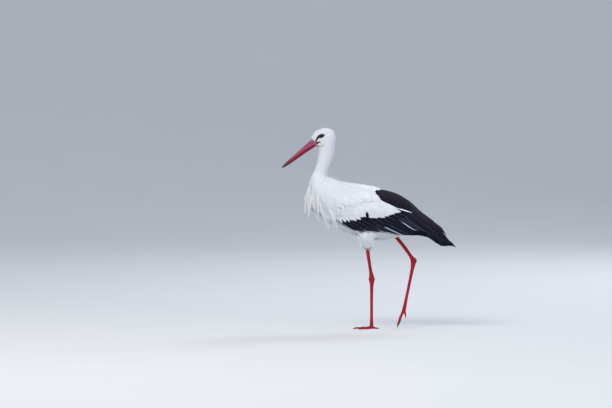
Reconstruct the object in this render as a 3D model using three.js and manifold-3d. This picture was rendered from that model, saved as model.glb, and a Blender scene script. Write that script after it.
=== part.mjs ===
// White stork (Ciconia ciconia), life size, walking with its right foot lifting off.
// Millimetres, +Z up. The bird faces -X, its left side is -Y, and the floor is z = 0.
import * as THREE from "three";
import { mergeVertices } from "three/addons/utils/BufferGeometryUtils.js";
import Module from "manifold-3d";

const wasm = await Module();
wasm.setup();

// Driving dimensions
const billLength = 168.6; // bill tip to the forehead feathers
const billDepth = 33; // at its root
const billWidth = 23;
const billPitch = THREE.MathUtils.degToRad(38); // below level
const billTaper = 1.25; // depth falls as 1 - (along / length) ^ taper
const billRoot = { x: -241.9, z: 798.2 }; // where the bill's axis meets the face
const billCentre = 8.4; // the bill's middle line above that axis
const eyeRadius = 8.5;
const eyeAlong = -47.5; // measured along the bill's axis from its root
const eyeUp = 9.9;
const eyeOut = 16.4; // ball centre from the middle plane
const tailLength = 128; // the part past the trunk
const tarsusGirth = 5.8; // half depth of the bare shank
const toeLengths = { inner: 50, middle: 71, outer: 59, hind: 26 };
const toeGirths = { inner: 5.4, middle: 6, outer: 5.6, hind: 4.8 };
const clawLengths = { inner: 10, middle: 12, outer: 10.5, hind: 10 };
const toeFlat = 1.1; // how much of a round toe is worn flat where it rests on the floor
const clawFlat = 0.35;
const gap = 0.3; // clearance between neighbouring pieces
const flatness = 0.14; // vertices closer than this to their neighbours' faces are dropped
const midGap = 1; // each wing's clearance from the middle plane

const colours = {
  white: 0xe9e8e4,
  black: 0x14161b,
  red: 0xb3202c,
  bill: 0xa8283a,
  eye: 0x120c0a,
  claw: 0x2a2224,
};

// ---------------------------------------------------------------- solids from rings

// A function that runs smoothly through rows of [position, value, value, ...]
function smooth(rows) {
  const interpolant = new THREE.CubicInterpolant(
    rows.map((row) => row[0]),
    rows.flatMap((row) => row.slice(1)),
    rows[0].length - 1,
  );
  return (at) => Array.from(interpolant.evaluate(at));
}

// A closed ring round a centre, an oval made squarer as squareness rises above 2
function ring(centre, up, side, halfUp, halfSide, count = 20, squareness = 2) {
  return Array.from({ length: count }, (_, i) => {
    const turn = (2 * Math.PI * (i + 0.5)) / count;
    const bulge = (wave) => Math.sign(wave) * Math.abs(wave) ** (2 / squareness);
    return centre
      .clone()
      .addScaledVector(up, halfUp * bulge(Math.cos(turn)))
      .addScaledVector(side, halfSide * bulge(Math.sin(turn)));
  });
}

// A closed skin through a row of rings with the same number of points, zipped shut at both ends
function loft(rings) {
  const count = rings[0].length;
  const last = (rings.length - 1) * count;
  const faces = [];
  const quad = (a, b, c, d) => faces.push(a, b, c, a, c, d);
  for (let r = 0; r < last; r += count)
    for (let i = 0; i < count; i++) {
      const next = (i + 1) % count;
      quad(r + i, r + next, r + next + count, r + i + count);
    }
  for (let i = 0; i < count / 2 - 1; i++) {
    const mirror = count - 1 - i;
    quad(mirror, mirror - 1, i + 1, i);
    quad(last + i, last + i + 1, last + mirror - 1, last + mirror);
  }
  const geometry = new THREE.BufferGeometry().setFromPoints(rings.flat());
  geometry.setIndex(faces);
  return solidOf(geometry);
}

function signedVolume(points, faces) {
  const corner = (i) => new THREE.Vector3().fromArray(points, 3 * faces[i]);
  let sum = 0;
  for (let i = 0; i < faces.length; i += 3) sum += corner(i).dot(corner(i + 1).cross(corner(i + 2)));
  return sum / 6;
}

// A three.js geometry as a manifold-3d solid whose faces look out
function solidOf(geometry) {
  const bare = geometry.clone();
  bare.deleteAttribute("normal");
  bare.deleteAttribute("uv");
  const merged = mergeVertices(bare, 1e-4);
  const points = merged.attributes.position.array;
  const faces = Array.from(merged.index.array);
  if (signedVolume(points, faces) < 0) faces.reverse();
  return new wasm.Manifold(
    new wasm.Mesh({ numProp: 3, vertProperties: points, triVerts: new Uint32Array(faces) }),
  );
}

function ball(x, y, z, rx, ry, rz, segments = 12) {
  const geometry = new THREE.SphereGeometry(1, segments, segments / 2);
  geometry.scale(rx, ry, rz);
  geometry.translate(x, y, z);
  return solidOf(geometry);
}

// A limb through rows of [x, y, z, half depth, half width], rounded shut at both ends
function limb(rows, { steps = 8, count = 10, squareness = 2, grow = 0 } = {}) {
  const path = smooth(rows.map((row, i) => [i, ...row]));
  const end = rows.length - 1;
  const centreAt = (t) => new THREE.Vector3(...path(t).slice(0, 3));
  const rings = [];
  for (let s = 0; s <= steps; s++) {
    const t = (s / steps) * end;
    const [, , , depth, width] = path(t);
    const ahead = centreAt(Math.min(t + 0.02, end)).sub(centreAt(Math.max(t - 0.02, 0))).normalize();
    const side = new THREE.Vector3(0, 1, 0).addScaledVector(ahead, -ahead.y).normalize();
    const up = side.clone().cross(ahead);
    const place = centreAt(t);
    if (s === 0) place.addScaledVector(ahead, -grow);
    if (s === steps) place.addScaledVector(ahead, grow);
    rings.push(ring(place, up, side, depth + grow, width + grow, count, squareness));
  }
  return loft(rings);
}

function join(solids) {
  return solids.reduce((all, one) => all.add(one));
}

function without(solid, cutters) {
  return cutters.reduce((left, cutter) => left.subtract(cutter), solid);
}

// The largest body of a cut solid, so that no loose crumb is kept
function main(solid) {
  return solid.decompose().sort((a, b) => b.volume() - a.volume())[0];
}

// Both sides of a flat cut through a point: [the side the normal looks to, the other side]
function partAt(solid, point, normal) {
  const n = new THREE.Vector3(...normal).normalize();
  const offset = n.dot(new THREE.Vector3(...point));
  return [
    solid.trimByPlane(n.toArray(), offset + gap / 2),
    solid.trimByPlane(n.clone().negate().toArray(), -offset + gap / 2),
  ];
}

// ---------------------------------------------------------------- trunk, neck and head

// Upright sections of the trunk: x, back height, belly height, half width
const trunkRows = [
  [-264, 600, 556, 14],
  [-257, 622, 530, 32],
  [-244, 642, 508, 46],
  [-218, 660, 487, 60],
  [-183, 669, 465, 71],
  [-145, 649, 443, 78],
  [-112, 642, 428, 82],
  [-79, 637, 415, 84],
  [-34, 631, 396, 84],
  [10, 625, 387, 82],
  [47, 614, 384, 77],
  [84, 597, 389, 71],
  [121, 574, 399, 63],
  [169, 535, 413, 50],
  [221, 482, 419, 36],
  [262, 440, 412, 22],
];

function trunk(grow = 0) {
  const at = smooth(trunkRows);
  const first = trunkRows[0][0];
  const last = trunkRows[trunkRows.length - 1][0];
  const steps = 17;
  const rings = [];
  for (let s = 0; s <= steps; s++) {
    const x = THREE.MathUtils.lerp(first - grow, last + grow, (1 - Math.cos((Math.PI * s) / steps)) / 2);
    const [back, belly, half] = at(THREE.MathUtils.clamp(x, first, last));
    const centre = new THREE.Vector3(x, 0, (back + belly) / 2);
    rings.push(ring(centre, up, side, (back - belly) / 2 + grow, half + grow, 20, 2.3));
  }
  return loft(rings);
}

const up = new THREE.Vector3(0, 0, 1);
const side = new THREE.Vector3(0, 1, 0);

// The neck's centre line from inside the skull to inside the breast
const neckRows = [
  [-182, 0, 818, 31, 27],
  [-183, 0, 781, 34.5, 28.5],
  [-188, 0, 754, 33.6, 28.5],
  [-195, 0, 728, 30.6, 27.5],
  [-202, 0, 707, 29, 27],
  [-209, 0, 685, 30.5, 29],
  [-214, 0, 667, 34.5, 33],
  [-219, 0, 641, 43, 43],
  [-213, 0, 607, 51, 54],
  [-204, 0, 572, 54, 58],
];

// The head is measured along the bill's axis, as the bill is
const billWay = new THREE.Vector3(-Math.cos(billPitch), 0, -Math.sin(billPitch));
const billUp = new THREE.Vector3(-Math.sin(billPitch), 0, Math.cos(billPitch));

function facePoint(along, rise, out = 0) {
  return new THREE.Vector3(billRoot.x, out, billRoot.z)
    .addScaledVector(billWay, along)
    .addScaledVector(billUp, rise);
}

// Sections of the head: along the bill's axis, top, bottom, half width
const headRows = [
  [-107, 1, -8, 5],
  [-102.5, 14, -25, 15],
  [-93, 25, -41, 22],
  [-77, 35.5, -51, 26],
  [-60, 42, -51, 27],
  [-45, 44.5, -46, 25.5],
  [-30, 43, -38, 22.5],
  [-18, 39.5, -30, 19.5],
  [-8, 34.5, -21, 16.5],
  [3, 26, -9.5, 12.6],
];

function crossSections(rows, steps, count, squareness, grow = 0) {
  const at = smooth(rows);
  const first = rows[0][0];
  const last = rows[rows.length - 1][0];
  const rings = [];
  for (let s = 0; s <= steps; s++) {
    const along = THREE.MathUtils.lerp(first - grow, last + grow, s / steps);
    const [top, bottom, half] = at(THREE.MathUtils.clamp(along, first, last));
    const centre = facePoint(along, (top + bottom) / 2);
    rings.push(ring(centre, billUp, side, (top - bottom) / 2 + grow, half + grow, count, squareness));
  }
  return loft(rings);
}

// Height of the line between the two halves of the bill
const gapeRows = [
  [-30, -3],
  [5, -0.2],
  [45, 2.8],
  [88, 5.9],
  [130, 7.8],
  [billLength, 8.4],
];

function bill(grow = 0) {
  const rows = [];
  for (let along = -14; along < billLength; along += 18.4) {
    const share = 1 - (Math.max(along, 0) / billLength) ** billTaper;
    const halfDepth = Math.max((billDepth / 2) * share, 0.8);
    const halfWidth = Math.max((billWidth / 2) * share ** 1.15, 0.8);
    rows.push([along, billCentre + halfDepth, billCentre - halfDepth, halfWidth]);
  }
  rows.push([billLength, billCentre + 0.5, billCentre - 0.5, 0.5]);
  return crossSections(rows, 9, 10, 1.9, grow);
}

// The half of the bill above (sign 1) or below (sign -1) the line of the mouth
function billHalf(sign) {
  const at = smooth(gapeRows);
  const reach = 60;
  const rings = [];
  for (let along = -24; along <= billLength + 6; along += 12) {
    const [line] = at(Math.min(along, billLength));
    const edge = line + (sign * gap) / 2;
    const corners = [
      [edge, -reach],
      [edge, reach],
      [edge + sign * reach, reach],
      [edge + sign * reach, -reach],
    ];
    rings.push(corners.map(([rise, out]) => facePoint(along, rise, out)));
  }
  return bill().intersect(loft(rings));
}

function eye(sign, grow = 0) {
  const centre = facePoint(eyeAlong, eyeUp, sign * eyeOut);
  const radius = eyeRadius + grow;
  return ball(centre.x, centre.y, centre.z, radius, radius, radius, 12);
}

// Long pointed breast plumes, one side: root, tip (x, y, z) and their half depth and half width
const plumeRows = [
  { root: [-253, 10, 622], tip: [-281, 14, 503], depth: 8, width: 11 },
  { root: [-248, 30, 598], tip: [-263, 32, 481], depth: 9, width: 10 },
  { root: [-226, 46, 570], tip: [-218, 50, 470], depth: 12, width: 9 },
  { root: [-202, 58, 548], tip: [-173, 64, 436], depth: 14, width: 9 },
  { root: [-176, 66, 520], tip: [-136, 70, 441], depth: 12, width: 8 },
];

function plume({ root, tip, depth, width }, sign, grow = 0) {
  const shape = [
    [0, 0.5],
    [0.3, 1],
    [0.62, 0.86],
    [0.86, 0.42],
    [1, 0.08],
  ];
  const rows = shape.map(([share, full]) => [
    THREE.MathUtils.lerp(root[0], tip[0], share),
    sign * THREE.MathUtils.lerp(root[1], tip[1], share),
    THREE.MathUtils.lerp(root[2], tip[2], share),
    depth * full,
    width * full,
  ]);
  return limb(rows, { steps: 4, count: 6, grow });
}

function plumes(grow = 0) {
  return join([-1, 1].flatMap((sign) => plumeRows.map((row) => plume(row, sign, grow))));
}

function wholeBody(grow = 0) {
  const neck = limb(neckRows, { steps: 10, count: 14, grow });
  const head = crossSections(headRows, 10, 14, 2.1, grow);
  return join([trunk(grow), neck, head, plumes(grow)]);
}

// ---------------------------------------------------------------- tail and wings

// The folded tail: x, height of its middle, half thickness, half width
const tailStart = 212;
const tailRows = [
  [tailStart, 444, 14, 25],
  [tailStart + 0.3 * tailLength, 423, 11, 28],
  [tailStart + 0.65 * tailLength, 400, 7.5, 29],
  [tailStart + tailLength, 378, 3, 24],
];

function tail(grow = 0) {
  const at = smooth(tailRows);
  const steps = 5;
  const rings = [];
  for (let s = 0; s <= steps; s++) {
    const x = tailStart + (s / steps) * tailLength;
    const [middle, halfThick, half] = at(x);
    const centre = new THREE.Vector3(x, 0, middle);
    rings.push(ring(centre, up, side, halfThick + grow, half + grow, 12, 2.4));
  }
  return loft(rings);
}

// Upright sections of a folded wing: x, top, bottom, and how far out its top edge, its side and
// its bottom edge stand
const wingRows = [
  [-168, 564, 526, 56, 64, 56],
  [-153, 592, 497, 50, 77, 66],
  [-118, 614, 465, 39, 87, 74],
  [-74, 622, 436, 31, 92, 75],
  [-31, 620, 428, 25, 94, 73],
  [21, 613, 427, 16, 92, 71],
  [73, 603, 419, 7, 86, 68],
  [126, 587, 411, midGap, 78, 61],
  [178, 556, 408, midGap, 69, 55],
  [230, 509, 411, midGap, 60, 50],
  [262, 486, 398, midGap, 54, 46],
  [297, 459, 370, midGap, 47, 40],
  [324, 437, 359, midGap, 40, 34],
  [348, 398, 360, 4, 31, 27],
  [366, 380, 359, 8, 22, 18],
  [378, 358, 353, 10, 16, 14],
];
const wingThickness = 15;
const wingTipThickness = 5;

function wing(sign, grow = 0) {
  const at = smooth(wingRows);
  const first = wingRows[0][0];
  const last = wingRows[wingRows.length - 1][0];
  const steps = 17;
  const arc = 7; // points on the outer face of a section, and again on the inner one
  const rings = [];
  for (let s = 0; s <= steps; s++) {
    const x = THREE.MathUtils.lerp(first, last, s / steps);
    const [top, bottom, topOut, sideOut, bottomOut] = at(x);
    const bulge = sideOut - (topOut + bottomOut) / 2;
    const thick = THREE.MathUtils.mapLinear(x, first, last, wingThickness, wingTipThickness);
    const outer = [];
    const inner = [];
    for (let i = 0; i < arc; i++) {
      const share = i / (arc - 1);
      const out = THREE.MathUtils.lerp(topOut, bottomOut, share) + bulge * Math.sin(Math.PI * share);
      const z = THREE.MathUtils.lerp(top, bottom, share ** 1.3);
      const edge = Math.sin(Math.PI * THREE.MathUtils.clamp(share, 0.08, 0.94));
      const depth = thick * (0.35 + 0.65 * edge);
      const tilt = (Math.PI / 2) * (1 - share) ** 1.5; // the section faces up at its top edge
      outer.push(new THREE.Vector3(x, sign * (out + grow), z + grow * Math.cos(Math.PI * share)));
      inner.push(
        new THREE.Vector3(
          x,
          sign * Math.max(out - depth * Math.cos(tilt) - grow, midGap - grow),
          z - depth * Math.sin(tilt) - grow * Math.sin(tilt),
        ),
      );
    }
    rings.push([...outer, ...inner.reverse()]);
  }
  return loft(rings);
}

// A thin blade standing across the wing along a line of [x, z] points
function knife(line) {
  const blades = [];
  for (let i = 0; i + 1 < line.length; i++) {
    const [x0, z0] = line[i];
    const [x1, z1] = line[i + 1];
    const blade = new THREE.BoxGeometry(Math.hypot(x1 - x0, z1 - z0) + gap, 300, gap);
    blade.rotateY(-Math.atan2(z1 - z0, x1 - x0));
    blade.translate((x0 + x1) / 2, 0, (z0 + z1) / 2);
    blades.push(solidOf(blade));
  }
  return join(blades);
}

// Where the white coverts end against the black feathers, from the back to the wing's lower edge
const covertEdge = [
  [44, 640],
  [31, 592],
  [45, 568],
  [65, 548],
  [91, 533],
  [121, 522],
  [150, 519],
  [121, 505],
  [95, 497],
  [69, 488],
  [39, 481],
  [8, 478],
  [-31, 476],
  [-53, 471],
  [-79, 463],
  [-105, 460],
  [-129, 464],
  [-150, 440],
];
// The lower edge of the scapulars and tertials, and their tips
const tertialEdge = [
  [149, 519],
  [187, 500],
  [239, 459],
  [276, 430],
  [296, 426],
  [312, 470],
];
// The tips of the secondaries
const secondaryEdge = [
  [276, 430],
  [262, 404],
  [244, 380],
];

function partedWing(sign, neighbours) {
  const trimmed = main(without(wing(sign), neighbours));
  const parts = without(trimmed, [knife(covertEdge), knife(tertialEdge), knife(secondaryEdge)]).decompose();
  const holding = (x, z) => {
    const probe = new THREE.BoxGeometry(3, 300, 3);
    probe.translate(x, 0, z);
    const post = solidOf(probe);
    return parts
      .map((part) => ({ part, shared: part.intersect(post).volume() }))
      .sort((a, b) => b.shared - a.shared)[0].part;
  };
  return {
    coverts: holding(-60, 530),
    scapulars: holding(120, 550),
    secondaries: holding(80, 450),
    primaries: holding(330, 385),
  };
}

// ---------------------------------------------------------------- legs and feet

const thighs = {
  left: [
    [-4, -40, 462, 36, 24],
    [-12, -45, 424, 40, 25],
    [-9, -45, 392, 33, 22],
    [-8, -43, 370, 26, 19],
    [-2, -41, 353, 17, 13],
    [9, -39, 341, 5, 5],
  ],
  right: [
    [30, 42, 490, 34, 22],
    [64, 45, 447, 33, 22],
    [90, 47, 421, 24, 19],
    [107, 47, 405, 15, 14],
    [117, 47, 395, 8, 8],
  ],
};
const shins = {
  left: [
    [-9, -42, 368, 7.4, 6.5],
    [-6, -38, 337, 7.2, 6.2],
    [0, -31, 294, 6.4, 5.9],
    [7, -23, 250, 6.8, 6.3],
    [10, -20, 232, 9.5, 8],
    [11.3, -18.5, 218, 8, 7],
  ],
  right: [
    [119, 47, 397.5, 7.4, 6.5],
    [155, 46, 352.6, 7.2, 6.2],
    [180, 44.5, 317, 6.9, 6.3],
    [190, 43, 302, 9.5, 8],
    [195, 42, 293.5, 8, 7],
  ],
};
const shanks = {
  left: [
    [11.3, -18.5, 218, 10.5, 8.8],
    [11.7, -17.5, 203, 9.4, 7.6],
    [11.3, -16, 181, 6.8, 5.8],
    [10.9, -13, 120, tarsusGirth, 5.2],
    [10.9, -10.5, 54, tarsusGirth, 5.4],
    [10.9, -9, 22, 7.2, 8],
    [10.9, -8.5, 8.5, 7.6, 9],
  ],
  right: [
    [195, 42, 293.5, 10.5, 8.8],
    [192.5, 41.5, 277, 9.4, 7.6],
    [188, 40.5, 252, 6.8, 5.8],
    [177, 38, 198, tarsusGirth, 5.2],
    [163.7, 36, 133, tarsusGirth, 5.4],
    [155.5, 34.5, 92, 7.2, 8],
    [152.8, 34, 78.6, 7.6, 9],
  ],
};

function shank(name, grow = 0) {
  const rows = shanks[name];
  const [x, y, z] = rows[0];
  const hock = ball(x, y, z, 12.8 + grow, 10 + grow, 13.5 + grow, 10);
  return hock.add(limb(rows, { steps: 8, count: 8, grow }));
}

// Each foot: where the toes leave the shank, and for each toe its swing from straight ahead
// (towards the middle plane) and its dip from level at the root and at the tip, in degrees
const feet = {
  left: {
    inward: 1,
    root: [10.9, -8.5, 8.5],
    toes: {
      middle: { swing: 2, dip: 13, tipDip: 0 },
      inner: { swing: 36, dip: 19, tipDip: 0 },
      outer: { swing: -34, dip: 15, tipDip: 0 },
      hind: { swing: 168, dip: 22, tipDip: 6 },
    },
  },
  right: {
    inward: -1,
    root: [152.8, 34, 78.6],
    toes: {
      middle: { swing: 0, dip: 62, tipDip: 74 },
      inner: { swing: 26, dip: 58, tipDip: 78 },
      outer: { swing: -24, dip: 58, tipDip: 78 },
      hind: { swing: 176, dip: 66, tipDip: 84 },
    },
  },
};

// Points along a toe that starts at a root and bends from one dip to another
function toePath(foot, name, length, steps) {
  const { swing, dip, tipDip } = foot.toes[name];
  const turn = THREE.MathUtils.degToRad(swing);
  const place = new THREE.Vector3(...foot.root);
  const points = [place.clone()];
  for (let s = 0; s < steps; s++) {
    const lean = THREE.MathUtils.degToRad(THREE.MathUtils.lerp(dip, tipDip, s / (steps - 1)));
    const flat = Math.cos(lean) * (length / steps);
    place.x -= flat * Math.cos(turn);
    place.y += foot.inward * flat * Math.sin(turn);
    place.z -= Math.sin(lean) * (length / steps);
    points.push(place.clone());
  }
  return points;
}

const toeSteps = 6;

function toe(foot, name, grow = 0) {
  const girth = toeGirths[name];
  const resting = foot.root[2] < 2 * girth;
  const rows = toePath(foot, name, toeLengths[name], toeSteps).map((point, i) => {
    const share = i / toeSteps;
    const pad = 1 + 0.1 * Math.cos(4 * Math.PI * share); // soft pads between the joints
    const half = girth * (1 - 0.36 * share) * pad;
    const z = resting ? Math.max(point.z, half - toeFlat) : point.z;
    return [point.x, point.y, z, half, half * 0.95];
  });
  return limb(rows, { steps: 5, count: 8, grow });
}

function claw(foot, name, grow = 0) {
  const path = toePath(foot, name, toeLengths[name], toeSteps);
  const tip = path[toeSteps];
  const way = tip.clone().sub(path[toeSteps - 1]).normalize();
  const root = toeGirths[name] * 0.6;
  const resting = foot.root[2] < 2 * toeGirths[name];
  const rows = [-0.25, 0.2, 0.6, 1].map((share) => {
    const place = tip.clone().addScaledVector(way, share * clawLengths[name]);
    const half = Math.max(root * (1 - 0.78 * Math.max(share, 0)), 0.9);
    const z = resting ? half - clawFlat : place.z - 1.6 * Math.max(share, 0) ** 2;
    return [place.x, place.y, z, half, half * 0.85];
  });
  return limb(rows, { steps: 3, count: 6, grow });
}

// The toes of one foot, each clear of the shank, of its own claw and of the toes before it
function partedFoot(sideName) {
  const foot = feet[sideName];
  const shankCut = shank(sideName, gap);
  const made = {};
  const taken = [];
  for (const name of Object.keys(foot.toes)) {
    const cutters = [shankCut, ...taken, claw(foot, name, gap)];
    made["toe_" + sideName + "_" + name] = main(without(toe(foot, name), cutters).trimByPlane([0, 0, 1], 0));
    made["claw_" + sideName + "_" + name] = main(claw(foot, name).trimByPlane([0, 0, 1], 0));
    taken.push(toe(foot, name, gap), claw(foot, name, gap));
  }
  return made;
}

// ---------------------------------------------------------------- the stork

// Flat cuts between the parts of the body: a point [x, y, z] and the way the cut faces
const neckTop = { point: [-184, 0, 766], normal: [0.1, 0, 1] };
const neckMiddle = { point: [-200, 0, 712], normal: [0.28, 0, 1] };
const neckFoot = { point: [-218, 0, 652], normal: [-0.36, 0, 0.93] };
const breastBack = { point: [-152, 0, 540], normal: [-0.966, 0, -0.26] };

function bodyParts() {
  const eyes = [eye(-1, gap), eye(1, gap)];
  const body = without(wholeBody(), [bill(gap), ...eyes]);
  const [head, belowHead] = partAt(body, neckTop.point, neckTop.normal);
  const [neckUpper, belowNeck] = partAt(belowHead, neckMiddle.point, neckMiddle.normal);
  const [neckLower, belowFoot] = partAt(belowNeck, neckFoot.point, neckFoot.normal);
  const [breast, trunkPart] = partAt(belowFoot, breastBack.point, breastBack.normal);
  return { head, neck_upper: neckUpper, neck_lower: neckLower, breast, trunk: trunkPart };
}

const finishes = {
  white: new THREE.MeshStandardMaterial({ color: colours.white, roughness: 0.85 }),
  black: new THREE.MeshStandardMaterial({ color: colours.black, roughness: 0.5 }),
  red: new THREE.MeshStandardMaterial({ color: colours.red, roughness: 0.55 }),
  bill: new THREE.MeshStandardMaterial({ color: colours.bill, roughness: 0.4 }),
  eye: new THREE.MeshStandardMaterial({ color: colours.eye, roughness: 0.08 }),
  claw: new THREE.MeshStandardMaterial({ color: colours.claw, roughness: 0.45 }),
};

const stork = new THREE.Group();

function place(name, solid, finish) {
  const { vertProperties, triVerts } = main(main(solid).simplify(flatness)).getMesh();
  const geometry = new THREE.BufferGeometry();
  geometry.setAttribute("position", new THREE.BufferAttribute(vertProperties, 3));
  geometry.setIndex(new THREE.BufferAttribute(triVerts, 1));
  geometry.computeVertexNormals();
  const mesh = new THREE.Mesh(geometry, finishes[finish]);
  mesh.name = name;
  stork.add(mesh);
}

const bodyCut = wholeBody(gap);
const tailPart = without(tail(), [bodyCut]);

for (const [name, solid] of Object.entries(bodyParts())) place(name, solid, "white");
place("bill_upper", billHalf(1), "bill");
place("bill_lower", billHalf(-1), "bill");
place("tail", tailPart, "white");

for (const [sideName, sign] of [["left", -1], ["right", 1]]) {
  const wingCut = wing(sign, gap);
  const shankSolid = shank(sideName);
  const shinSolid = without(limb(shins[sideName], { steps: 5, count: 8 }), [shank(sideName, gap)]);
  const shinCut = limb(shins[sideName], { steps: 5, count: 8, grow: gap });
  const thigh = limb(thighs[sideName], { steps: 6, count: 10 });

  place("eye_" + sideName, eye(sign), "eye");
  for (const [name, solid] of Object.entries(partedWing(sign, [bodyCut, tail(gap)])))
    place("wing_" + sideName + "_" + name, solid, name === "coverts" ? "white" : "black");
  place("thigh_" + sideName, without(thigh, [bodyCut, wingCut, shinCut]), "white");
  place("tibia_" + sideName, without(shinSolid, [bodyCut]), "red");
  place("tarsus_" + sideName, shankSolid.trimByPlane([0, 0, 1], 0), "red");
  for (const [name, solid] of Object.entries(partedFoot(sideName)))
    place(name, solid, name.startsWith("claw") ? "claw" : "red");
}

// The origin is the middle of the base of the stork's box
const box = new THREE.Box3().setFromObject(stork);
stork.position.set(-(box.min.x + box.max.x) / 2, -(box.min.y + box.max.y) / 2, -box.min.z);

export default stork;
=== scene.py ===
# White stork, life size, in mid stride: skin, feather coat, bill, eyes and legs around the fixed frame
import math
from functools import partial
import bpy
import numpy as np
import openvdb
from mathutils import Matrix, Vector
from mathutils.kdtree import KDTree


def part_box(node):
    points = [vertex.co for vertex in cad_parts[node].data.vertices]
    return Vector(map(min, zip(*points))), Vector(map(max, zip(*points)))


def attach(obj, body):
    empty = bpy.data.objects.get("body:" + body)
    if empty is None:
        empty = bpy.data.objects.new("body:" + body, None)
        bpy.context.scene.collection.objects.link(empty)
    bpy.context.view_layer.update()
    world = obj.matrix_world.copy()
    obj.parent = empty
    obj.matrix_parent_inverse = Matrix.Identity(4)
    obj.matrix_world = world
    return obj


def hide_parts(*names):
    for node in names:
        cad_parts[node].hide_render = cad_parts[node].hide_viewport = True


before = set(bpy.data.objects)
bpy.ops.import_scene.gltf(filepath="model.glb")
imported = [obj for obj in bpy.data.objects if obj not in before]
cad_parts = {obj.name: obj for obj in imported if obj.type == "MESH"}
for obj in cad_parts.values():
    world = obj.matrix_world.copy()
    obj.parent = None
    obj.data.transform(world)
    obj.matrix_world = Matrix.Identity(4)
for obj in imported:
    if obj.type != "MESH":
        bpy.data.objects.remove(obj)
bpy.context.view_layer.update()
mm = 0.001
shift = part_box("wing_left_primaries")[1].x - 0.378  # the frame's own centring along X
rng = np.random.default_rng(41)
fleshStarts = ("head", "neck", "breast", "trunk", "tail", "wing", "thigh")
fleshNodes = sorted(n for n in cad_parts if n.startswith(fleshStarts))
legNodes = sorted(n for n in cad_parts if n.startswith(("tibia", "tarsus", "toe")))
wingNodes = [n for n in fleshNodes if n.startswith("wing")]
trunkNodes = [n for n in fleshNodes if n not in wingNodes]
whiteNodes = [n for n in fleshNodes if n in trunkNodes or n.endswith("coverts")]
blackNodes = [n for n in fleshNodes if n not in whiteNodes]


def unit(v):
    return v / np.maximum(np.linalg.norm(v, axis=-1, keepdims=True), 1e-9)


def dot(a, b):
    return np.sum(a * b, axis=-1, keepdims=True)


def ease(low, high, value):
    t = np.clip((value - low) / (high - low), 0, 1)
    return t * t * (3 - 2 * t)


# A smooth curve through rows of numbers, read at places from 0 to the last row's index
def curveThrough(rows, places):
    rows = np.asarray(rows, float)
    padded = np.vstack([2 * rows[0] - rows[1], rows, 2 * rows[-1] - rows[-2]])
    places = np.clip(places, 0, len(rows) - 1 - 1e-6)
    i = places.astype(int)
    t = (places - i)[:, None]
    a, b, c, d = padded[i], padded[i + 1], padded[i + 2], padded[i + 3]
    return 0.5 * (2 * b + (c - a) * t + (2 * a - 5 * b + 4 * c - d) * t**2 + (3 * b - a - 3 * c + d) * t**3)


def table(rows, at):
    rows = np.asarray(rows, float)
    return np.interp(at, rows[:, 0], rows[:, 1])


# A mesh from arrays; attributes are numbers for each point that the materials read
def meshObject(name, points, faces, materials, attributes=None, bakeMap=None, materialIndex=None):
    mesh = bpy.data.meshes.new(name)
    points = np.ascontiguousarray(points, np.float32)
    faces = np.ascontiguousarray(faces, np.int32)
    corners = faces.shape[1]
    mesh.vertices.add(len(points))
    mesh.vertices.foreach_set("co", points.ravel())
    mesh.loops.add(faces.size)
    mesh.loops.foreach_set("vertex_index", faces.ravel())
    mesh.polygons.add(len(faces))
    mesh.polygons.foreach_set("loop_start", np.arange(0, faces.size, corners, dtype=np.int32))
    if materialIndex is not None:
        mesh.polygons.foreach_set("material_index", materialIndex.astype(np.int32))
    mesh.update(calc_edges=True)
    for key, values in (attributes or {}).items():
        mesh.attributes.new(key, "FLOAT", "POINT").data.foreach_set("value", values.astype(np.float32))
    if bakeMap is not None:
        layer = mesh.uv_layers.new(name="OFBake")
        layer.data.foreach_set("uv", bakeMap[faces.ravel()].astype(np.float32).ravel())
    mesh.shade_smooth()
    for material in materials:
        mesh.materials.append(material)
    piece = bpy.data.objects.new(name, mesh)
    bpy.context.scene.collection.objects.link(piece)
    return piece


# Hangs a piece on the root body, hides the frame's nodes that it stands for and prints its face count
def settle(piece, slot, *nodes):
    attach(piece, "root")
    if nodes:
        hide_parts(*nodes)
    print(piece.name, len(piece.data.polygons), "faces")
    return piece


# A closed tube through rows of x, y, z, half depth, half width, in mm
def tube(rows, steps, count=24):
    along = curveThrough(rows, np.linspace(0, len(rows) - 1, steps + 1))
    centre = along[:, :3] * mm + [shift, 0, 0]
    ahead = unit(np.gradient(centre, axis=0))
    across = unit(np.array([0, 1, 0]) - ahead * ahead[:, 1:2])
    up = np.cross(across, ahead)
    turn = 2 * np.pi * (np.arange(count) + 0.5) / count
    rings = (centre[:, None] + up[:, None] * (along[:, 3, None, None] * mm * np.cos(turn)[None, :, None])
             + across[:, None] * (along[:, 4, None, None] * mm * np.sin(turn)[None, :, None]))
    return closedRings(rings)


# Points and quads of a skin over rings, shut with a fan of quads at both ends
def closedRings(rings):
    steps, count = rings.shape[:2]
    points = rings.reshape(-1, 3)
    base = (np.arange(steps - 1) * count)[:, None] + np.arange(count)[None, :]
    over = (np.arange(steps - 1) * count)[:, None] + (np.arange(count)[None, :] + 1) % count
    sides = np.stack([base, over, over + count, base + count], -1).reshape(-1, 4)
    half = np.arange(count // 2 - 1)
    first = np.stack([half + 1, half, count - 1 - half, count - 2 - half], -1)
    last = (steps - 1) * count + first[:, ::-1]
    faces = np.vstack([sides, first, last])
    if volumeOf(points, faces) < 0:
        faces = faces[:, ::-1]
    return points.astype(np.float32), np.ascontiguousarray(faces, np.uint32)


# The volume inside, below 0 where the faces point inwards
def volumeOf(points, faces):
    a, b, c, d = (points[faces[:, i]] for i in range(4))
    return float(np.sum(dot(a, np.cross(b, c)) + dot(a, np.cross(c, d)))) / 6


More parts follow.
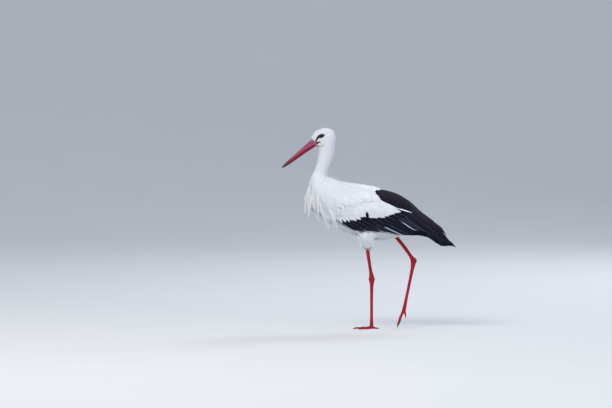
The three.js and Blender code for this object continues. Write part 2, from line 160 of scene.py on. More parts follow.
def solidArrays(name):
    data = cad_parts[name].data
    points = np.empty(len(data.vertices) * 3, np.float32)
    data.vertices.foreach_get("co", points)
    data.calc_loop_triangles()
    corners = np.empty(len(data.loop_triangles) * 3, np.int32)
    data.loop_triangles.foreach_get("vertices", corners)
    return points.reshape(-1, 3), corners.reshape(-1, 3).astype(np.uint32)


# A distance field tells how far each place is outside (+) or inside (-) a shape, in metres
def fieldOf(shapes, low, high, voxel, reach):
    corner = np.floor(np.array(low) / voxel).astype(int)
    size = np.ceil(np.array(high) / voxel).astype(int) - corner + 1
    total = np.full(size, reach, np.float32)
    for points, faces in shapes:
        kind = {"quads": faces} if faces.shape[1] == 4 else {"triangles": faces}
        grid = openvdb.FloatGrid.createLevelSetFromPolygons(
            points, transform=openvdb.createLinearTransform(voxel), halfWidth=reach / voxel, **kind)
        part = np.empty(size, np.float32)
        grid.copyToArray(part, ijk=tuple(int(v) for v in corner))
        np.minimum(total, part, out=total)
    return {"values": total, "corner": corner, "voxel": voxel}


def surfaceOf(field):
    grid = openvdb.FloatGrid(float(field["values"].max()))
    grid.copyFromArray(np.ascontiguousarray(field["values"]), ijk=tuple(int(v) for v in field["corner"]),
                       tolerance=0.0)
    grid.transform = openvdb.createLinearTransform(field["voxel"])
    return grid.convertToQuads(isovalue=0.0)


def blurred(field, passes):
    values = field["values"]
    for _ in range(passes):
        for axis in range(3):
            values = (np.roll(values, 1, axis) + 2 * values + np.roll(values, -1, axis)) / 4
    return {**field, "values": values}


# The x, y and z of a field's places, shaped so that they spread over it
def placesOf(field):
    size = field["values"].shape
    return [((np.arange(size[i]) + field["corner"][i]) * field["voxel"]).reshape(
        [-1 if k == i else 1 for k in range(3)]) for i in range(3)]


def heightAt(field, points):
    shape = points.shape[:-1]
    q = points.reshape(-1, 3) / field["voxel"] - field["corner"]
    q = np.clip(q, 0, np.array(field["values"].shape) - 1.001)
    i = q.astype(int)
    f = q - i
    v = field["values"]
    out = np.zeros(len(q))
    for corner in np.ndindex(2, 2, 2):
        x, y, z = (f[:, axis] if far else 1 - f[:, axis] for axis, far in enumerate(corner))
        out += x * y * z * v[tuple((i + corner).T)]
    return out.reshape(shape)


def outwardAt(field, points):
    step = field["voxel"]
    slope = np.stack([heightAt(field, points + d) - heightAt(field, points - d)
                      for d in np.eye(3) * step], -1)
    return unit(slope)


body = {
    "voxel": 3 * mm,
    "reach": 24 * mm,
    "low": [-0.32, -0.125, 0.31],
    "high": [0.40, 0.125, 0.90],
    "grow": 0.4 * mm,  # closes the slits between the nodes
    "wingCoat": 4 * mm,  # how far the skin lies under the feathers' outer face
    "trunkCoat": 9 * mm,
    "tailCoat": 4 * mm,
    "bridge": 16 * mm,  # hollows of a smaller radius are bridged
}
# Coat depth in front of the shoulders, by height
frontCoat = [[0.50, 0.013], [0.60, 0.011], [0.66, 0.0075], [0.70, 0.005], [0.76, 0.0035], [0.795, 0.0026],
             [0.90, 0.0022]]


def bodyField(shapes, reach=body["reach"]):
    return fieldOf(shapes, body["low"], body["high"], body["voxel"], reach)


parts, wingField, trunkField, whiteField, blackField = (
    bodyField([solidArrays(n) for n in names])
    for names in (fleshNodes, wingNodes, trunkNodes, whiteNodes, blackNodes))
merged = surfaceOf({**parts, "values": parts["values"] - body["grow"]})
outline = bodyField([merged])

# The gaps where the folded wings lie against the back are bridged, as the mantle feathers bridge them
swollen = surfaceOf({**outline, "values": outline["values"] - body["bridge"]})
bridged = bodyField([swollen], body["bridge"] + body["reach"])["values"] + body["bridge"]
gx, gy, gz = placesOf(outline)
onBack = ease(-0.19, -0.15, gx) * ease(0.48, 0.53, gz) * ease(0.67, 0.64, gz)
raised = np.minimum(bridged, outline["values"]) - outline["values"]
cover = {**outline, "values": (outline["values"] + raised * onBack).astype(np.float32)}

depth = np.where(gx < -0.12, table(frontCoat, gz), body["trunkCoat"])
depth = depth + ease(-0.16, -0.08, gx) * (body["trunkCoat"] - depth)
depth = depth + ease(0.15, 0.25, gx) * (body["tailCoat"] - depth)
depth = depth + ease(-4 * mm, 8 * mm, trunkField["values"] - wingField["values"]) * (body["wingCoat"] - depth)
skinField = blurred({**cover, "values": cover["values"] + depth.astype(np.float32)}, 3)
print("body fields", skinField["values"].shape)


# Colours are sRGB hex, and Blender's sockets want linear values
def linear(hexText):
    channels = [int(hexText[i:i + 2], 16) / 255 for i in (1, 3, 5)]
    return [c / 12.92 if c <= 0.04045 else ((c + 0.055) / 1.055) ** 2.4 for c in channels] + [1.0]


# A pattern's scale from the real distance between its marks, in mm
def marksApart(spacing):
    return 1 / (spacing * mm)


# Gives a socket its value: another node's output is linked, a hex colour turned to linear
def feed(material, socket, value):
    if isinstance(value, bpy.types.NodeSocket):
        material.node_tree.links.new(value, socket)
    else:
        socket.default_value = linear(value) if isinstance(value, str) else value


usualSettings = {"Mix": {"data_type": "RGBA"}, "MapRange": {"interpolation_type": "SMOOTHSTEP"}}
usualOutput = {"Attribute": "Fac", "TexCoord": "Object"}


# Adds a node with its settings. The values go to the inputs that it shows, in their order.
def addNode(material, kind, *values, **settings):
    node = material.node_tree.nodes.new("ShaderNode" + kind)
    for key, value in {**usualSettings.get(kind, {}), **settings}.items():
        setattr(node, key, value)
    for socket, value in zip([socket for socket in node.inputs if socket.enabled], values):
        feed(material, socket, value)
    shown = [socket for socket in node.outputs if socket.enabled]
    return node.outputs[usualOutput[kind]] if kind in usualOutput else shown[0]


# A recipe adds its nodes and gives the surface's values, by the names of the shader's sockets
def newMaterial(name, recipe):
    material = bpy.data.materials.new(name)
    material.use_nodes = True
    surface = material.node_tree.nodes["Principled BSDF"]
    for key, value in recipe(partial(addNode, material)).items():
        feed(material, surface.inputs[key], value)
    return material


filterWidth = 0.1  # a bump's values: strength, distance, filter width (Blender's own) and height


# Ridges of the barbs, which leave the shaft at about 45 degrees, with their spacing in mm
def barbRidges(add, across, along, spacing):
    fromShaft = add("Math", across, operation="ABSOLUTE")
    slant = add("Math", along, fromShaft, operation="SUBTRACT")
    turn = add("Math", slant, 2 * math.pi / spacing, operation="MULTIPLY")
    return add("Math", turn, operation="SINE")


# White contour feathers: matte keratin vanes that let light through, with fine barbs that give a silky shade,
# and a brown tint that is real soil on the cheek spot and the breast plumes but painted shade on the belly
# and thighs
def whitePlumage(add):
    across, along, tone, tipShare, soil = (
        add("Attribute", attribute_name=name) for name in ("across", "along", "tone", "tipShare", "soil"))
    barbs = barbRidges(add, across, along, 0.9)  # coarser than the real 0.4 mm, so that they show
    vane = add("Mix", tone, "#E4E9F0", "#F3F5F7")
    fromRoot = add("MapRange", tipShare, 0.0, 0.4)
    base = add("Mix", fromRoot, "#D8DCE5", vane)
    return {
        # brown tint: real soil in places, painted shade that darkens the belly and thighs
        "Base Color": add("Mix", soil, base, "#B59A84"),
        "Normal": add("Bump", 0.5, 0.12 * mm, filterWidth, barbs),
        "Roughness": 0.8, "IOR": 1.5, "Specular IOR Level": 0.25,
        "Sheen Weight": 0.15, "Sheen Roughness": 0.4,
        "Subsurface Weight": 0.35, "Subsurface Radius": (1.0, 0.95, 0.9), "Subsurface Scale": 3 * mm}


# Black flight feathers: vanes rich in melanin, glossier than white ones, with a blue to bronze sheen and
# highlights along their edges painted into their colour
def blackPlumage(add):
    across, along, tone, bronze, frost, pale, edge = (
        add("Attribute", attribute_name=name)
        for name in ("across", "along", "tone", "bronze", "frost", "pale", "edge"))
    barbs = barbRidges(add, across, along, 1.2)  # coarser than life, as on the white ones
    lowBarbs = add("Math", barbs, 0.3, operation="MULTIPLY")
    fromShaft = add("Math", across, operation="ABSOLUTE")
    shaft = add("MapRange", fromShaft, 0.3, 0.9, 1.0, 0.0)
    ink = add("Mix", tone, "#04060C", "#0A0D17")
    # painted sheen: purple-bronze, strongest on the tertials and scapulars, and grey-blue, strongest on the
    # secondaries
    withBronzeSheen = add("Mix", bronze, ink, "#140E18")
    withGreySheen = add("Mix", frost, withBronzeSheen, "#3E4A5C")
    # painted highlight along each vane's edges
    fromMiddle = add("Math", edge, operation="ABSOLUTE")
    rim = add("MapRange", fromMiddle, 0.72, 1.0, 0.0, 0.45)
    withEdgeHighlight = add("Mix", rim, withGreySheen, "#565466")
    atLowerEdge = add("MapRange", edge, -0.80, -0.92)
    paleEdge = add("Math", pale, atLowerEdge, operation="MULTIPLY")
    return {
        "Base Color": add("Mix", paleEdge, withEdgeHighlight, "#C9CED6"),
        "Normal": add("Bump", 0.5, 0.5 * mm, filterWidth, add("Math", lowBarbs, shaft, operation="ADD")),
        "Roughness": 0.6, "IOR": 1.45, "Specular IOR Level": 0.03}


# Bill: thick red horn, polished by use; purplish above, deeper below, dark at the tip, with painted shade
# along the cutting edges and in the nostrils and a painted highlight low on the upper jaw's side
def billHorn(add):
    tipShare, stainAndShade, lower, level = (
        add("Attribute", attribute_name=name) for name in ("tipShare", "stainAndShade", "lower", "level"))
    place = add("TexCoord")
    streaks = add("TexNoise", place, marksApart(3.846), 4.0)  # growth streaks
    outer = add("MapRange", tipShare, 0.35, 0.95)
    top = add("Mix", outer, "#8E1F44", "#6E2A40")
    atRoot = add("MapRange", tipShare, 0.0, 0.16, 0.4, 0.0)
    root = add("Mix", atRoot, top, "#6E2F78")
    # painted highlight: lighter pink low on the upper jaw's side
    sideHighlight = add("MapRange", level, 0.15, 0.5, 0.5, 0.1)
    side = add("Mix", sideHighlight, root, "#B45070")
    red = add("Mix", lower, side, "#780C1C")
    worn = add("MapRange", streaks, 0.45, 0.75, 0.0, 0.2)
    mottled = add("Mix", worn, red, "#A03C5C")
    return {
        # near black: the real darker tip, and painted shade along the cutting edges and in the nostrils
        "Base Color": add("Mix", stainAndShade, mottled, "#14070B"),
        "Normal": add("Bump", 0.25, 0.5 * mm, filterWidth, streaks),
        "Roughness": 0.42, "IOR": 1.55, "Specular IOR Level": 0.22,
        "Coat Weight": 0.05, "Coat Roughness": 0.3,
        "Subsurface Weight": 0.05, "Subsurface Radius": (1.0, 0.3, 0.4), "Subsurface Scale": 2 * mm}


# Leg skin: red horny scales like fine leather, with darker grooves between them
def legSkin(add):
    place = add("TexCoord")
    toEdge = add("TexVoronoi", place, marksApart(2.941), feature="DISTANCE_TO_EDGE")
    groove = add("MapRange", toEdge, 0.0, 0.12)
    mottling = add("TexNoise", place, marksApart(22.22), 3.0)
    flush = add("MapRange", mottling, 0.35, 0.7)
    red = add("Mix", flush, "#A00A1C", "#B81628")
    return {
        "Base Color": add("Mix", groove, "#6E0E1A", red),
        "Normal": add("Bump", 0.6, 0.6 * mm, filterWidth, groove),
        "Roughness": 0.5, "IOR": 1.5, "Specular IOR Level": 0.22,
        "Subsurface Weight": 0.05, "Subsurface Radius": (1.0, 0.25, 0.2), "Subsurface Scale": 2 * mm}


# Bare face skin and the base of the coat: thin skin, black round the eye, down coloured as its feathers
def coatBase(add):
    bare, black, pink = (
        add("Attribute", attribute_name=name) for name in ("bare", "black", "pink"))
    place = add("TexCoord")
    wrinkles = add("TexNoise", place, marksApart(1.4286), 3.0)
    down = add("Mix", black, "#DADCE1", "#0C0E14")
    bareSkin = add("Mix", pink, "#15131A", "#8A1428")
    return {
        "Base Color": add("Mix", bare, down, bareSkin),
        "Normal": add("Bump", 0.5, 0.6 * mm, filterWidth, wrinkles),
        "Roughness": 0.75, "IOR": 1.45}


# Claws: solid dark horn, worn dull
def clawHorn(add):
    place = add("TexCoord")
    grain = add("TexNoise", place, marksApart(2), 3.0)
    return {
        "Base Color": add("Mix", grain, "#241A1C", "#4A3534"),
        "Normal": add("Bump", 0.3, 0.3 * mm, filterWidth, grain),
        "Roughness": 0.5, "IOR": 1.55}


# Eye: wet cornea over a dark brown iris, with a black pupil
def wetEye(add):
    offCentre = add("Attribute", attribute_name="offCentre")
    outward = add("MapRange", offCentre, 0.45, 0.72)
    iris = add("Mix", outward, "#21140D", "#0F0A08")
    offPupil = add("MapRange", offCentre, 0.30, 0.36)
    return {
        "Base Color": add("Mix", offPupil, "#030303", iris),
        "Roughness": 0.1, "IOR": 1.376, "Specular IOR Level": 0.3,
        "Coat Weight": 0.25, "Coat Roughness": 0.03}


# Studio floor: matte painted board
def paleFloor(add):
    place = add("TexCoord")
    grain = add("TexNoise", place, marksApart(333.3), 4.0)
    return {
        "Base Color": add("Mix", grain, "#C6C8CA", "#CBCCCE"),
        "Roughness": 0.9, "IOR": 1.45}


materials = {key: newMaterial(name, recipe) for key, name, recipe in [
    ("white", "white contour feathers", whitePlumage), ("black", "black flight feathers", blackPlumage),
    ("bill", "bill horn", billHorn), ("leg", "scaled leg skin", legSkin), ("base", "skin and down", coatBase),
    ("claw", "claw horn", clawHorn), ("eye", "wet eye", wetEye), ("floor", "pale studio floor", paleFloor)]}
print("materials", len(materials))


# The head's own frame: along the bill from its root, up across it, out to the side
billRoot = np.array([-241.9 * mm + shift, 0, 798.2 * mm])
billPitch = math.radians(38)
billWay = np.array([-math.cos(billPitch), 0, -math.sin(billPitch)])
billUp = np.array([-math.sin(billPitch), 0, math.cos(billPitch)])


def facePoint(along, rise, out):
    along, rise, out = (np.asarray(v, float) for v in (along, rise, out))
    return (billRoot + along[..., None] * mm * billWay + rise[..., None] * mm * billUp
            + out[..., None] * mm * np.array([0, 1, 0]))


# Where the eye is in that frame, its radius, its opening and the thickness of its lids (mm)
eye = {"along": -52.2, "rise": 13.3, "out": 16.4, "radius": 8.5, "opening": 6.0, "lid": 1.1}
eyeCentre = facePoint(eye["along"], eye["rise"], eye["out"])
forehead = billRoot + np.array([-12, 0, 30]) * mm


# Where the feathers lie closest, over the root of the bill
def sleekShare(x, z):
    return ease(34 * mm, 14 * mm, np.hypot(x - forehead[0], z - forehead[2]))


# Bare black skin round the eye, x and z from the eye's centre (mm)
barePatch = [[-25, -24], [-20, -13], [-15.9, -3.6], [-8, 3.8], [0, 7.6], [8, 7.6], [16.5, 6.4], [12.5, 0],
             [8, -5], [-1.4, -8.8], [-8, -9], [-13, -11.5], [-18.8, -21.5]]
# Smaller bare marks, from the eye's centre too: x, z, half length, half height, tilt in degrees, how bare
# they are, and how much of that is red
faceMarks = {
    "root of the upper jaw": [-28, -32, 9, 5.5, 38, 1.0, 1.0],
    "corner of the mouth": [-15, -30, 10, 3.4, 34, 1.0, 0.15],
    "upper edge of the corner": [-10, -27, 6, 3.2, 32, 1.0, 0.0],
    "root of the lower jaw": [-23, -45.5, 11.5, 4.6, 34, 1.0, 1.0],
    # a thin dark bare line: painted shade in the crease where the cheek meets the throat
    "crease under the cheek": [3.6, -43.3, 15.5, 1.5, 13, 0.75, 0.3],
}


# Distance to a closed outline seen from the side, negative inside, in the outline's own units
def outlineDistance(corners, x, z):
    corners = np.asarray(corners, float)
    nearest = np.full(np.broadcast(x, z).shape, 1e9)
    inside = np.zeros(nearest.shape, bool)
    for a, b in zip(corners, np.roll(corners, -1, 0)):
        edge = b - a
        t = np.clip(((x - a[0]) * edge[0] + (z - a[1]) * edge[1]) / (edge @ edge), 0, 1)
        nearest = np.minimum(nearest, np.hypot(x - a[0] - t * edge[0], z - a[1] - t * edge[1]))
        crosses = (a[1] > z) != (b[1] > z)
        inside ^= crosses & (x < a[0] + (z - a[1]) * edge[0] / (edge[1] or 1))
    return np.where(inside, -nearest, nearest)


bareCorners = np.array(barePatch) * mm + eyeCentre[[0, 2]]


# How much of a mark lies at a place, fading at its edge
def markShare(points, mark, spread):
    x, z, halfLength, halfHeight, tilt = mark[:5]
    cos, sin = math.cos(math.radians(tilt)), math.sin(math.radians(tilt))
    dx, dz = points[..., 0] / mm - eyeCentre[0] / mm - x, points[..., 2] / mm - eyeCentre[2] / mm - z
    reach = np.hypot((dx * cos + dz * sin) / halfLength, (dz * cos - dx * sin) / halfHeight)
    return ease(1.25 + spread, 0.8 + spread, reach)


# How bare the face is: 1 on bare skin; spread widens the edge, in mm
def bareShare(points, spread=0.0):
    distance = outlineDistance(bareCorners, points[..., 0], points[..., 2]) / mm
    share = ease(1.2 + spread, -0.8 + spread, distance)
    for mark in faceMarks.values():
        share = np.maximum(share, mark[5] * markShare(points, mark, spread / 3))
    return share


def redShare(points):
    return np.max([mark[6] * markShare(points, mark, 0.4) for mark in faceMarks.values()], 0)


head = {
    "voxel": 1.5 * mm,
    "low": [-0.30, -0.045, 0.755],
    "high": [-0.12, 0.045, 0.89],
    "seam": 0.768,  # height where the head's finer skin runs into the body's
    "overlap": 4 * mm,  # how far the body's skin reaches up inside it
    "reach": 12 * mm,
    "bareDepth": 0.7 * mm,  # how far bare skin lies under the face of the frame's nodes
    "sleekSkin": 1.6 * mm,  # the forehead is flatter than the frame's: its skin, and its feathers
    "sleekCoat": 2.8 * mm,
    "side": 8 * mm,  # bare skin starts this far from the middle
    "cheekSpot": [1.4, -32.5],  # soiled feathers, from the eye's centre (mm)
}


def joined(pieces):
    points, faces, start = [], [], 0
    for p, f in pieces:
        points.append(p)
        faces.append(f.astype(np.int64) + start)
        start += len(p)
    return np.vstack(points), np.vstack(faces)


def bodyShell():
    z = placesOf(skinField)[2]
    clipped = np.maximum(skinField["values"], z - head["seam"] - head["overlap"])
    return surfaceOf({**skinField, "values": clipped.astype(np.float32)})


# The head is made again, finer: bare skin at full height, sockets and lid rims round the eyes
def headShell():
    fine = fieldOf([merged], head["low"], head["high"], head["voxel"], head["reach"])
    x, y, z = placesOf(fine)
    bare = ease(2.0 * mm, -0.5 * mm, outlineDistance(bareCorners, x, z)) * (np.abs(y) > head["side"])
    depth = table(frontCoat, z) * (1 - bare) + head["bareDepth"] * bare + head["sleekSkin"] * sleekShare(x, z)
    soft = blurred({**fine, "values": blurred(fine, 8)["values"] + depth.astype(np.float32)}, 3)
    values = soft["values"]
    across = np.hypot(x - eyeCentre[0], z - eyeCentre[2])
    outward = np.abs(y) - abs(eyeCentre[1])
    opening = eye["opening"] * mm
    socket = np.maximum(across - opening, -outward)
    values = np.maximum(values, -socket)
    rimOut = eye["radius"] * mm * 0.8 + 0.5 * mm
    rim = np.hypot(across - opening - 0.7 * mm, outward - rimOut) - eye["lid"] * mm
    values = np.minimum(values, rim)
    values = np.maximum(values, head["seam"] - z)
    return surfaceOf(blurred({**soft, "values": values.astype(np.float32)}, 1)), soft


# Middle lines of the feathered thighs, x, y and z (mm)
thighRows = {
    "left": [[-4, -40, 462], [-12, -45, 424], [-9, -45, 392], [-8, -43, 370], [-2, -41, 353], [9, -39, 341]],
    "right": [[30, 42, 490], [64, 45, 447], [90, 47, 421], [107, 47, 405], [117, 47, 395]],
}
# Bare shins and shanks: x, y, z, half depth and half width (mm)
shinRows = {
    "left": [[-9, -42, 368, 7.4, 6.5], [-6, -38, 337, 7.2, 6.2], [0, -31, 294, 6.4, 5.9],
             [7, -23, 250, 6.8, 6.3], [10, -20, 232, 9.5, 8], [11.3, -18.5, 218, 8, 7]],
    "right": [[119, 47, 397.5, 7.4, 6.5], [155, 46, 352.6, 7.2, 6.2], [180, 44.5, 317, 6.9, 6.3],
              [190, 43, 302, 9.5, 8], [195, 42, 293.5, 8, 7]],
}
shankRows = {
    "left": [[11.3, -18.5, 218, 10.5, 8.8], [11.7, -17.5, 203, 9.4, 7.6], [11.3, -16, 181, 6.8, 5.8],
             [10.9, -13, 120, 5.8, 5.2], [10.9, -10.5, 54, 5.8, 5.4], [10.9, -9, 22, 7.2, 8],
             [10.9, -8.5, 8.5, 7.6, 9]],
    "right": [[195, 42, 293.5, 10.5, 8.8], [192.5, 41.5, 277, 9.4, 7.6], [188, 40.5, 252, 6.8, 5.8],
              [177, 38, 198, 5.8, 5.2], [163.7, 36, 133, 5.8, 5.4], [155.5, 34.5, 92, 7.2, 8],
              [152.8, 34, 78.6, 7.6, 9]],
}
# Each toe: its swing off straight ahead, and its slope at the root and at the tip, in degrees
feet = {
    "left": {"inward": 1, "root": [10.9, -8.5, 8.5], "toes": {
        "middle": [2, 13, 0], "inner": [36, 19, 0], "outer": [-34, 15, 0], "hind": [168, 22, 6]}},
    "right": {"inward": -1, "root": [152.8, 34, 78.6], "toes": {
        "middle": [0, 62, 74], "inner": [26, 58, 78], "outer": [-24, 58, 78], "hind": [176, 66, 84]}},
}
toes = {
    "length": {"inner": 50, "middle": 71, "outer": 59, "hind": 26},
    "girth": {"inner": 5.4, "middle": 6, "outer": 5.6, "hind": 4.8},
    "claw": {"inner": 10, "middle": 12, "outer": 10.5, "hind": 10},
    "steps": 6,
    "flat": 1.1,  # how much of a resting toe, and of its claw, is pressed flat
    "clawFlat": 0.35,
}
legs = {
    "voxel": 1.45 * mm,
    "reach": 6 * mm,
    "hockRadii": [12.8, 10, 13.5],
    "web": 2.2 * mm,  # how softly the tubes run together
    "fuller": 0.8 * mm,  # than the tubes, all round
    "soleGap": 0.05 * mm,  # from the floor
}


def toePath(foot, name):
    swing, dip, tipDip = foot["toes"][name]
    place = np.array(foot["root"], float)
    points = [place.copy()]
    stride = toes["length"][name] / toes["steps"]
    for s in range(toes["steps"]):
        lean = math.radians(dip + (tipDip - dip) * s / (toes["steps"] - 1))
        place = place + [-math.cos(lean) * stride * math.cos(math.radians(swing)),
                         foot["inward"] * math.cos(lean) * stride * math.sin(math.radians(swing)),
                         -math.sin(lean) * stride]
        points.append(place.copy())
    return points


def toeRows(foot, name):
    girth, rows = toes["girth"][name], []
    resting = foot["root"][2] < 2 * girth
    for i, point in enumerate(toePath(foot, name)):
        share = i / toes["steps"]
        half = girth * (1 - 0.36 * share) * (1 + 0.1 * math.cos(4 * math.pi * share))
        z = max(point[2], half - toes["flat"]) if resting else point[2]
        rows.append([point[0], point[1], z, half * 0.96, half * 0.92])
    return rows


def clawRows(foot, name):
    path = toePath(foot, name)
    way = (path[-1] - path[-2]) / np.linalg.norm(path[-1] - path[-2])
    root = toes["girth"][name] * 0.6
    resting, rows = foot["root"][2] < 2 * toes["girth"][name], []
    for share in (-0.25, 0.1, 0.4, 0.7, 0.9, 1):
        place = path[-1] + way * share * toes["claw"][name]
        half = max(root * (1 - 0.78 * max(share, 0)), 0.8) * (0.5 if share == 1 else 1)
        z = max(half - toes["clawFlat"], 0.5) if resting else place[2] - 1.6 * max(share, 0) ** 2
        rows.append([place[0], place[1], z, half * 0.95, half * 0.8])
    return rows


# The least of two distances, rounded where they meet
def smoothMin(a, b, reach):
    h = np.clip(0.5 + 0.5 * (b - a) / reach, 0, 1)
    return b + (a - b) * h - reach * h * (1 - h)


# The tubes of a leg run into each other, with small webs between the toes
def legShell(side):
    tubes = [tube(shinRows[side], 30), tube(shankRows[side], 50)]
    tubes += [tube(toeRows(feet[side], name), 24, 16) for name in toes["length"]]
    points = np.vstack([p for p, _ in tubes])
    low, high = points.min(0) - legs["reach"], points.max(0) + legs["reach"]
    fields = [fieldOf([t], low, high, legs["voxel"], legs["reach"]) for t in tubes]
    x, y, z = placesOf(fields[0])
    hock = np.array(shankRows[side][0][:3]) * mm + [shift, 0, 0]
    radii = np.array(legs["hockRadii"]) * mm
    ball = (np.sqrt(((x - hock[0]) / radii[0])**2 + ((y - hock[1]) / radii[1])**2
                    + ((z - hock[2]) / radii[2])**2) - 1) * radii.min()
    total = np.minimum(ball, legs["reach"])
    for field in fields:
        total = smoothMin(total, field["values"], legs["web"])
    total = blurred({**fields[0], "values": (total - legs["fuller"]).astype(np.float32)}, 1)
    if side == "left":
        total["values"] = np.maximum(total["values"], legs["soleGap"] - z).astype(np.float32)
    return surfaceOf(total)


headSurface, headField = headShell()
shells = [bodyShell(), headSurface, legShell("left"), legShell("right")]
sizes = [len(f) for _, f in shells]
skinPoints, skinFaces = joined(shells)
skinPoints[:, 2] = np.maximum(skinPoints[:, 2], 0)
isLeg = np.arange(len(skinFaces)) >= sizes[0] + sizes[1]
print("skin shells", sizes)


# The coat lies along the spine, from the bill to the tail
spine = np.array([[-262, 0, 800], [-238, 0, 822], [-212, 0, 835], [-188, 0, 828], [-178, 0, 812],
                  [-181, 0, 785], [-190, 0, 750], [-200, 0, 712], [-211, 0, 680], [-214, 0, 642],
                  [-200, 0, 595], [-160, 0, 555], [-100, 0, 530], [0, 0, 510], [120, 0, 480],
                  [220, 0, 440], [340, 0, 385]], float) * mm
spine[:, 0] += shift
spinePoints = curveThrough(spine, np.linspace(0, len(spine) - 1, 90))
spineWay = unit(np.gradient(spinePoints, axis=0))
spineRun = np.concatenate([[0], np.cumsum(np.linalg.norm(np.diff(spinePoints, axis=0), axis=1))])
thighLines = {side: np.array(rows, float) * mm + [shift, 0, 0] for side, rows in thighRows.items()}


# How far along the spine a place is, which way the spine runs there, and the spine's own place
def nearSpine(points, spread=0.03):
    apart = np.linalg.norm(points[:, None, :] - spinePoints[None], axis=2)
    nearest = apart.min(1)
    weight = np.exp(-((apart - nearest[:, None]) / spread) ** 2)
    weight /= weight.sum(1, keepdims=True)
    return weight @ spineRun, weight @ spineWay, weight @ spinePoints


# Which way a thigh runs at a place, and how much the place belongs to it
def thighPull(points):
    pull = np.zeros((len(points), 3))
    share = np.zeros(len(points))
    for line in thighLines.values():
        dense = curveThrough(line, np.linspace(0, len(line) - 1, 24))
        way = unit(np.gradient(dense, axis=0))
        apart = np.linalg.norm(points[:, None, :] - dense[None], axis=2)
        near = apart.argmin(1)
        reach = ease(0.050, 0.034, apart.min(1)) * ease(dense[0, 2] - 0.03, dense[0, 2] - 0.055, points[:, 2])
        better = reach > share
        pull[better] = way[near[better]]
        share = np.maximum(share, reach)
    return pull, share


# On the wing the small feathers run back along the shoulder, and down towards the lower front edge
def wingPull(points):
    x, z = points[:, 0], points[:, 2]
    low = ease(0.61, 0.50, z)
    angle = -np.radians(12 + (14 + 40 * ease(0.10, -0.10, x)) * low)
    return np.stack([np.cos(angle), 0 * angle, np.sin(angle)], 1)


# Which way the feathers point
def lie(points):
    _, way, _ = nearSpine(points)
    wing = ease(-3 * mm, 3 * mm, heightAt(trunkField, points) - heightAt(wingField, points))[:, None]
    way = unit(way * (1 - wing) + wingPull(points) * wing)
    pull, share = thighPull(points)
    return unit(way * (1 - share[:, None]) + pull * share[:, None])


# Where a root lies on an unwrap of the body: along the spine, and round it
def unwrapped(points):
    run, way, centre = nearSpine(points)
    up = unit(np.cross(way, [0, 1, 0]))
    arm = points - centre
    angle = np.arctan2(arm[:, 1], np.sum(arm * up, 1))
    return np.stack([0.02 + 0.96 * run / spineRun[-1], 0.5 + 0.48 * angle / math.pi], 1)


# Places along the shaft, and the half width there as a share of the widest
vaneShapes = {name: np.array(rows, float) for name, rows in {
    "round": ([0, 0.2, 0.45, 0.7, 0.88, 0.97, 1], [0.35, 0.8, 1.0, 0.96, 0.72, 0.36, 0.12]),
    "small": ([0, 0.35, 0.75, 1], [0.45, 1.0, 0.85, 0.2]),
    "lance": ([0, 0.2, 0.45, 0.7, 0.9, 1], [0.42, 0.95, 1.0, 0.72, 0.34, 0.06]),
    "pointed": ([0, 0.2, 0.45, 0.7, 0.88, 1], [0.4, 0.85, 1.0, 0.86, 0.45, 0.05]),
    "flight": ([0, 0.06, 0.2, 0.4, 0.6, 0.76, 0.87, 0.94, 0.98, 1],
               [0.40, 0.70, 0.94, 1.0, 1.0, 0.94, 0.80, 0.58, 0.33, 0.10]),
    "primary": ([0, 0.06, 0.2, 0.4, 0.6, 0.76, 0.87, 0.94, 0.98, 1],
                [0.50, 0.80, 1.0, 1.0, 0.92, 0.78, 0.60, 0.40, 0.22, 0.08]),
}.items()}
vane = {
    "patch": 0.003,  # each feather's place on the OFBake map
    "follow": 0.5,  # how fast a growing feather turns into the coat's lie
    "droop": 0.06,  # how much its edges hang below its ridge
    "taper": 0.5,  # how much thinner it is at its tip
    "furthest": 0.02,  # the most that a place moves to reach its height, in metres
}


# Vanes from rings of four corners: edge, ridge, edge, underside. Closed at both ends.
def vaneMesh(corners, halfWidth, length, shape, roots):
    count, steps = corners.shape[:2]
    places, widths = vaneShapes[shape]
    i = (np.arange(steps - 1) * 4)[:, None]
    k = np.arange(4)[None]
    quads = np.stack([i + k, i + 4 + k, i + 4 + (k + 1) % 4, i + (k + 1) % 4], -1).reshape(-1, 4)
    last = (steps - 1) * 4
    quads = np.vstack([quads, [[0, 1, 2, 3]], [[last + 3, last + 2, last + 1, last]]])
    faces = (quads[None] + (np.arange(count) * steps * 4)[:, None, None]).reshape(-1, 4)
    side = np.zeros((count, steps, 4))
    side[:, :, 0], side[:, :, 2] = widths, -widths
    across = side * halfWidth[:, None, None] / mm
    along = (length[:, None] * places / mm)[:, :, None] * np.ones(4)
    share = np.broadcast_to(places[None, :, None], side.shape)
    patch = vane["patch"] * np.stack([share - 0.5, 0.5 * side], -1)
    bakeMap = unwrapped(roots)[:, None, None] + patch
    tone = np.broadcast_to(rng.random(count)[:, None, None], side.shape)
    edge = np.zeros(side.shape)
    edge[:, :, 0], edge[:, :, 2] = 1, -1
    return {"points": corners.reshape(-1, 3), "faces": faces, "bakeMap": bakeMap.reshape(-1, 2),
            "attributes": {"across": across.ravel(), "along": along.ravel(), "tone": tone.ravel(),
                           "tipShare": share.ravel(), "edge": edge.ravel()}}


def perFeather(count, *values):
    return [np.broadcast_to(np.asarray(v, float), (count,)).copy() for v in values]


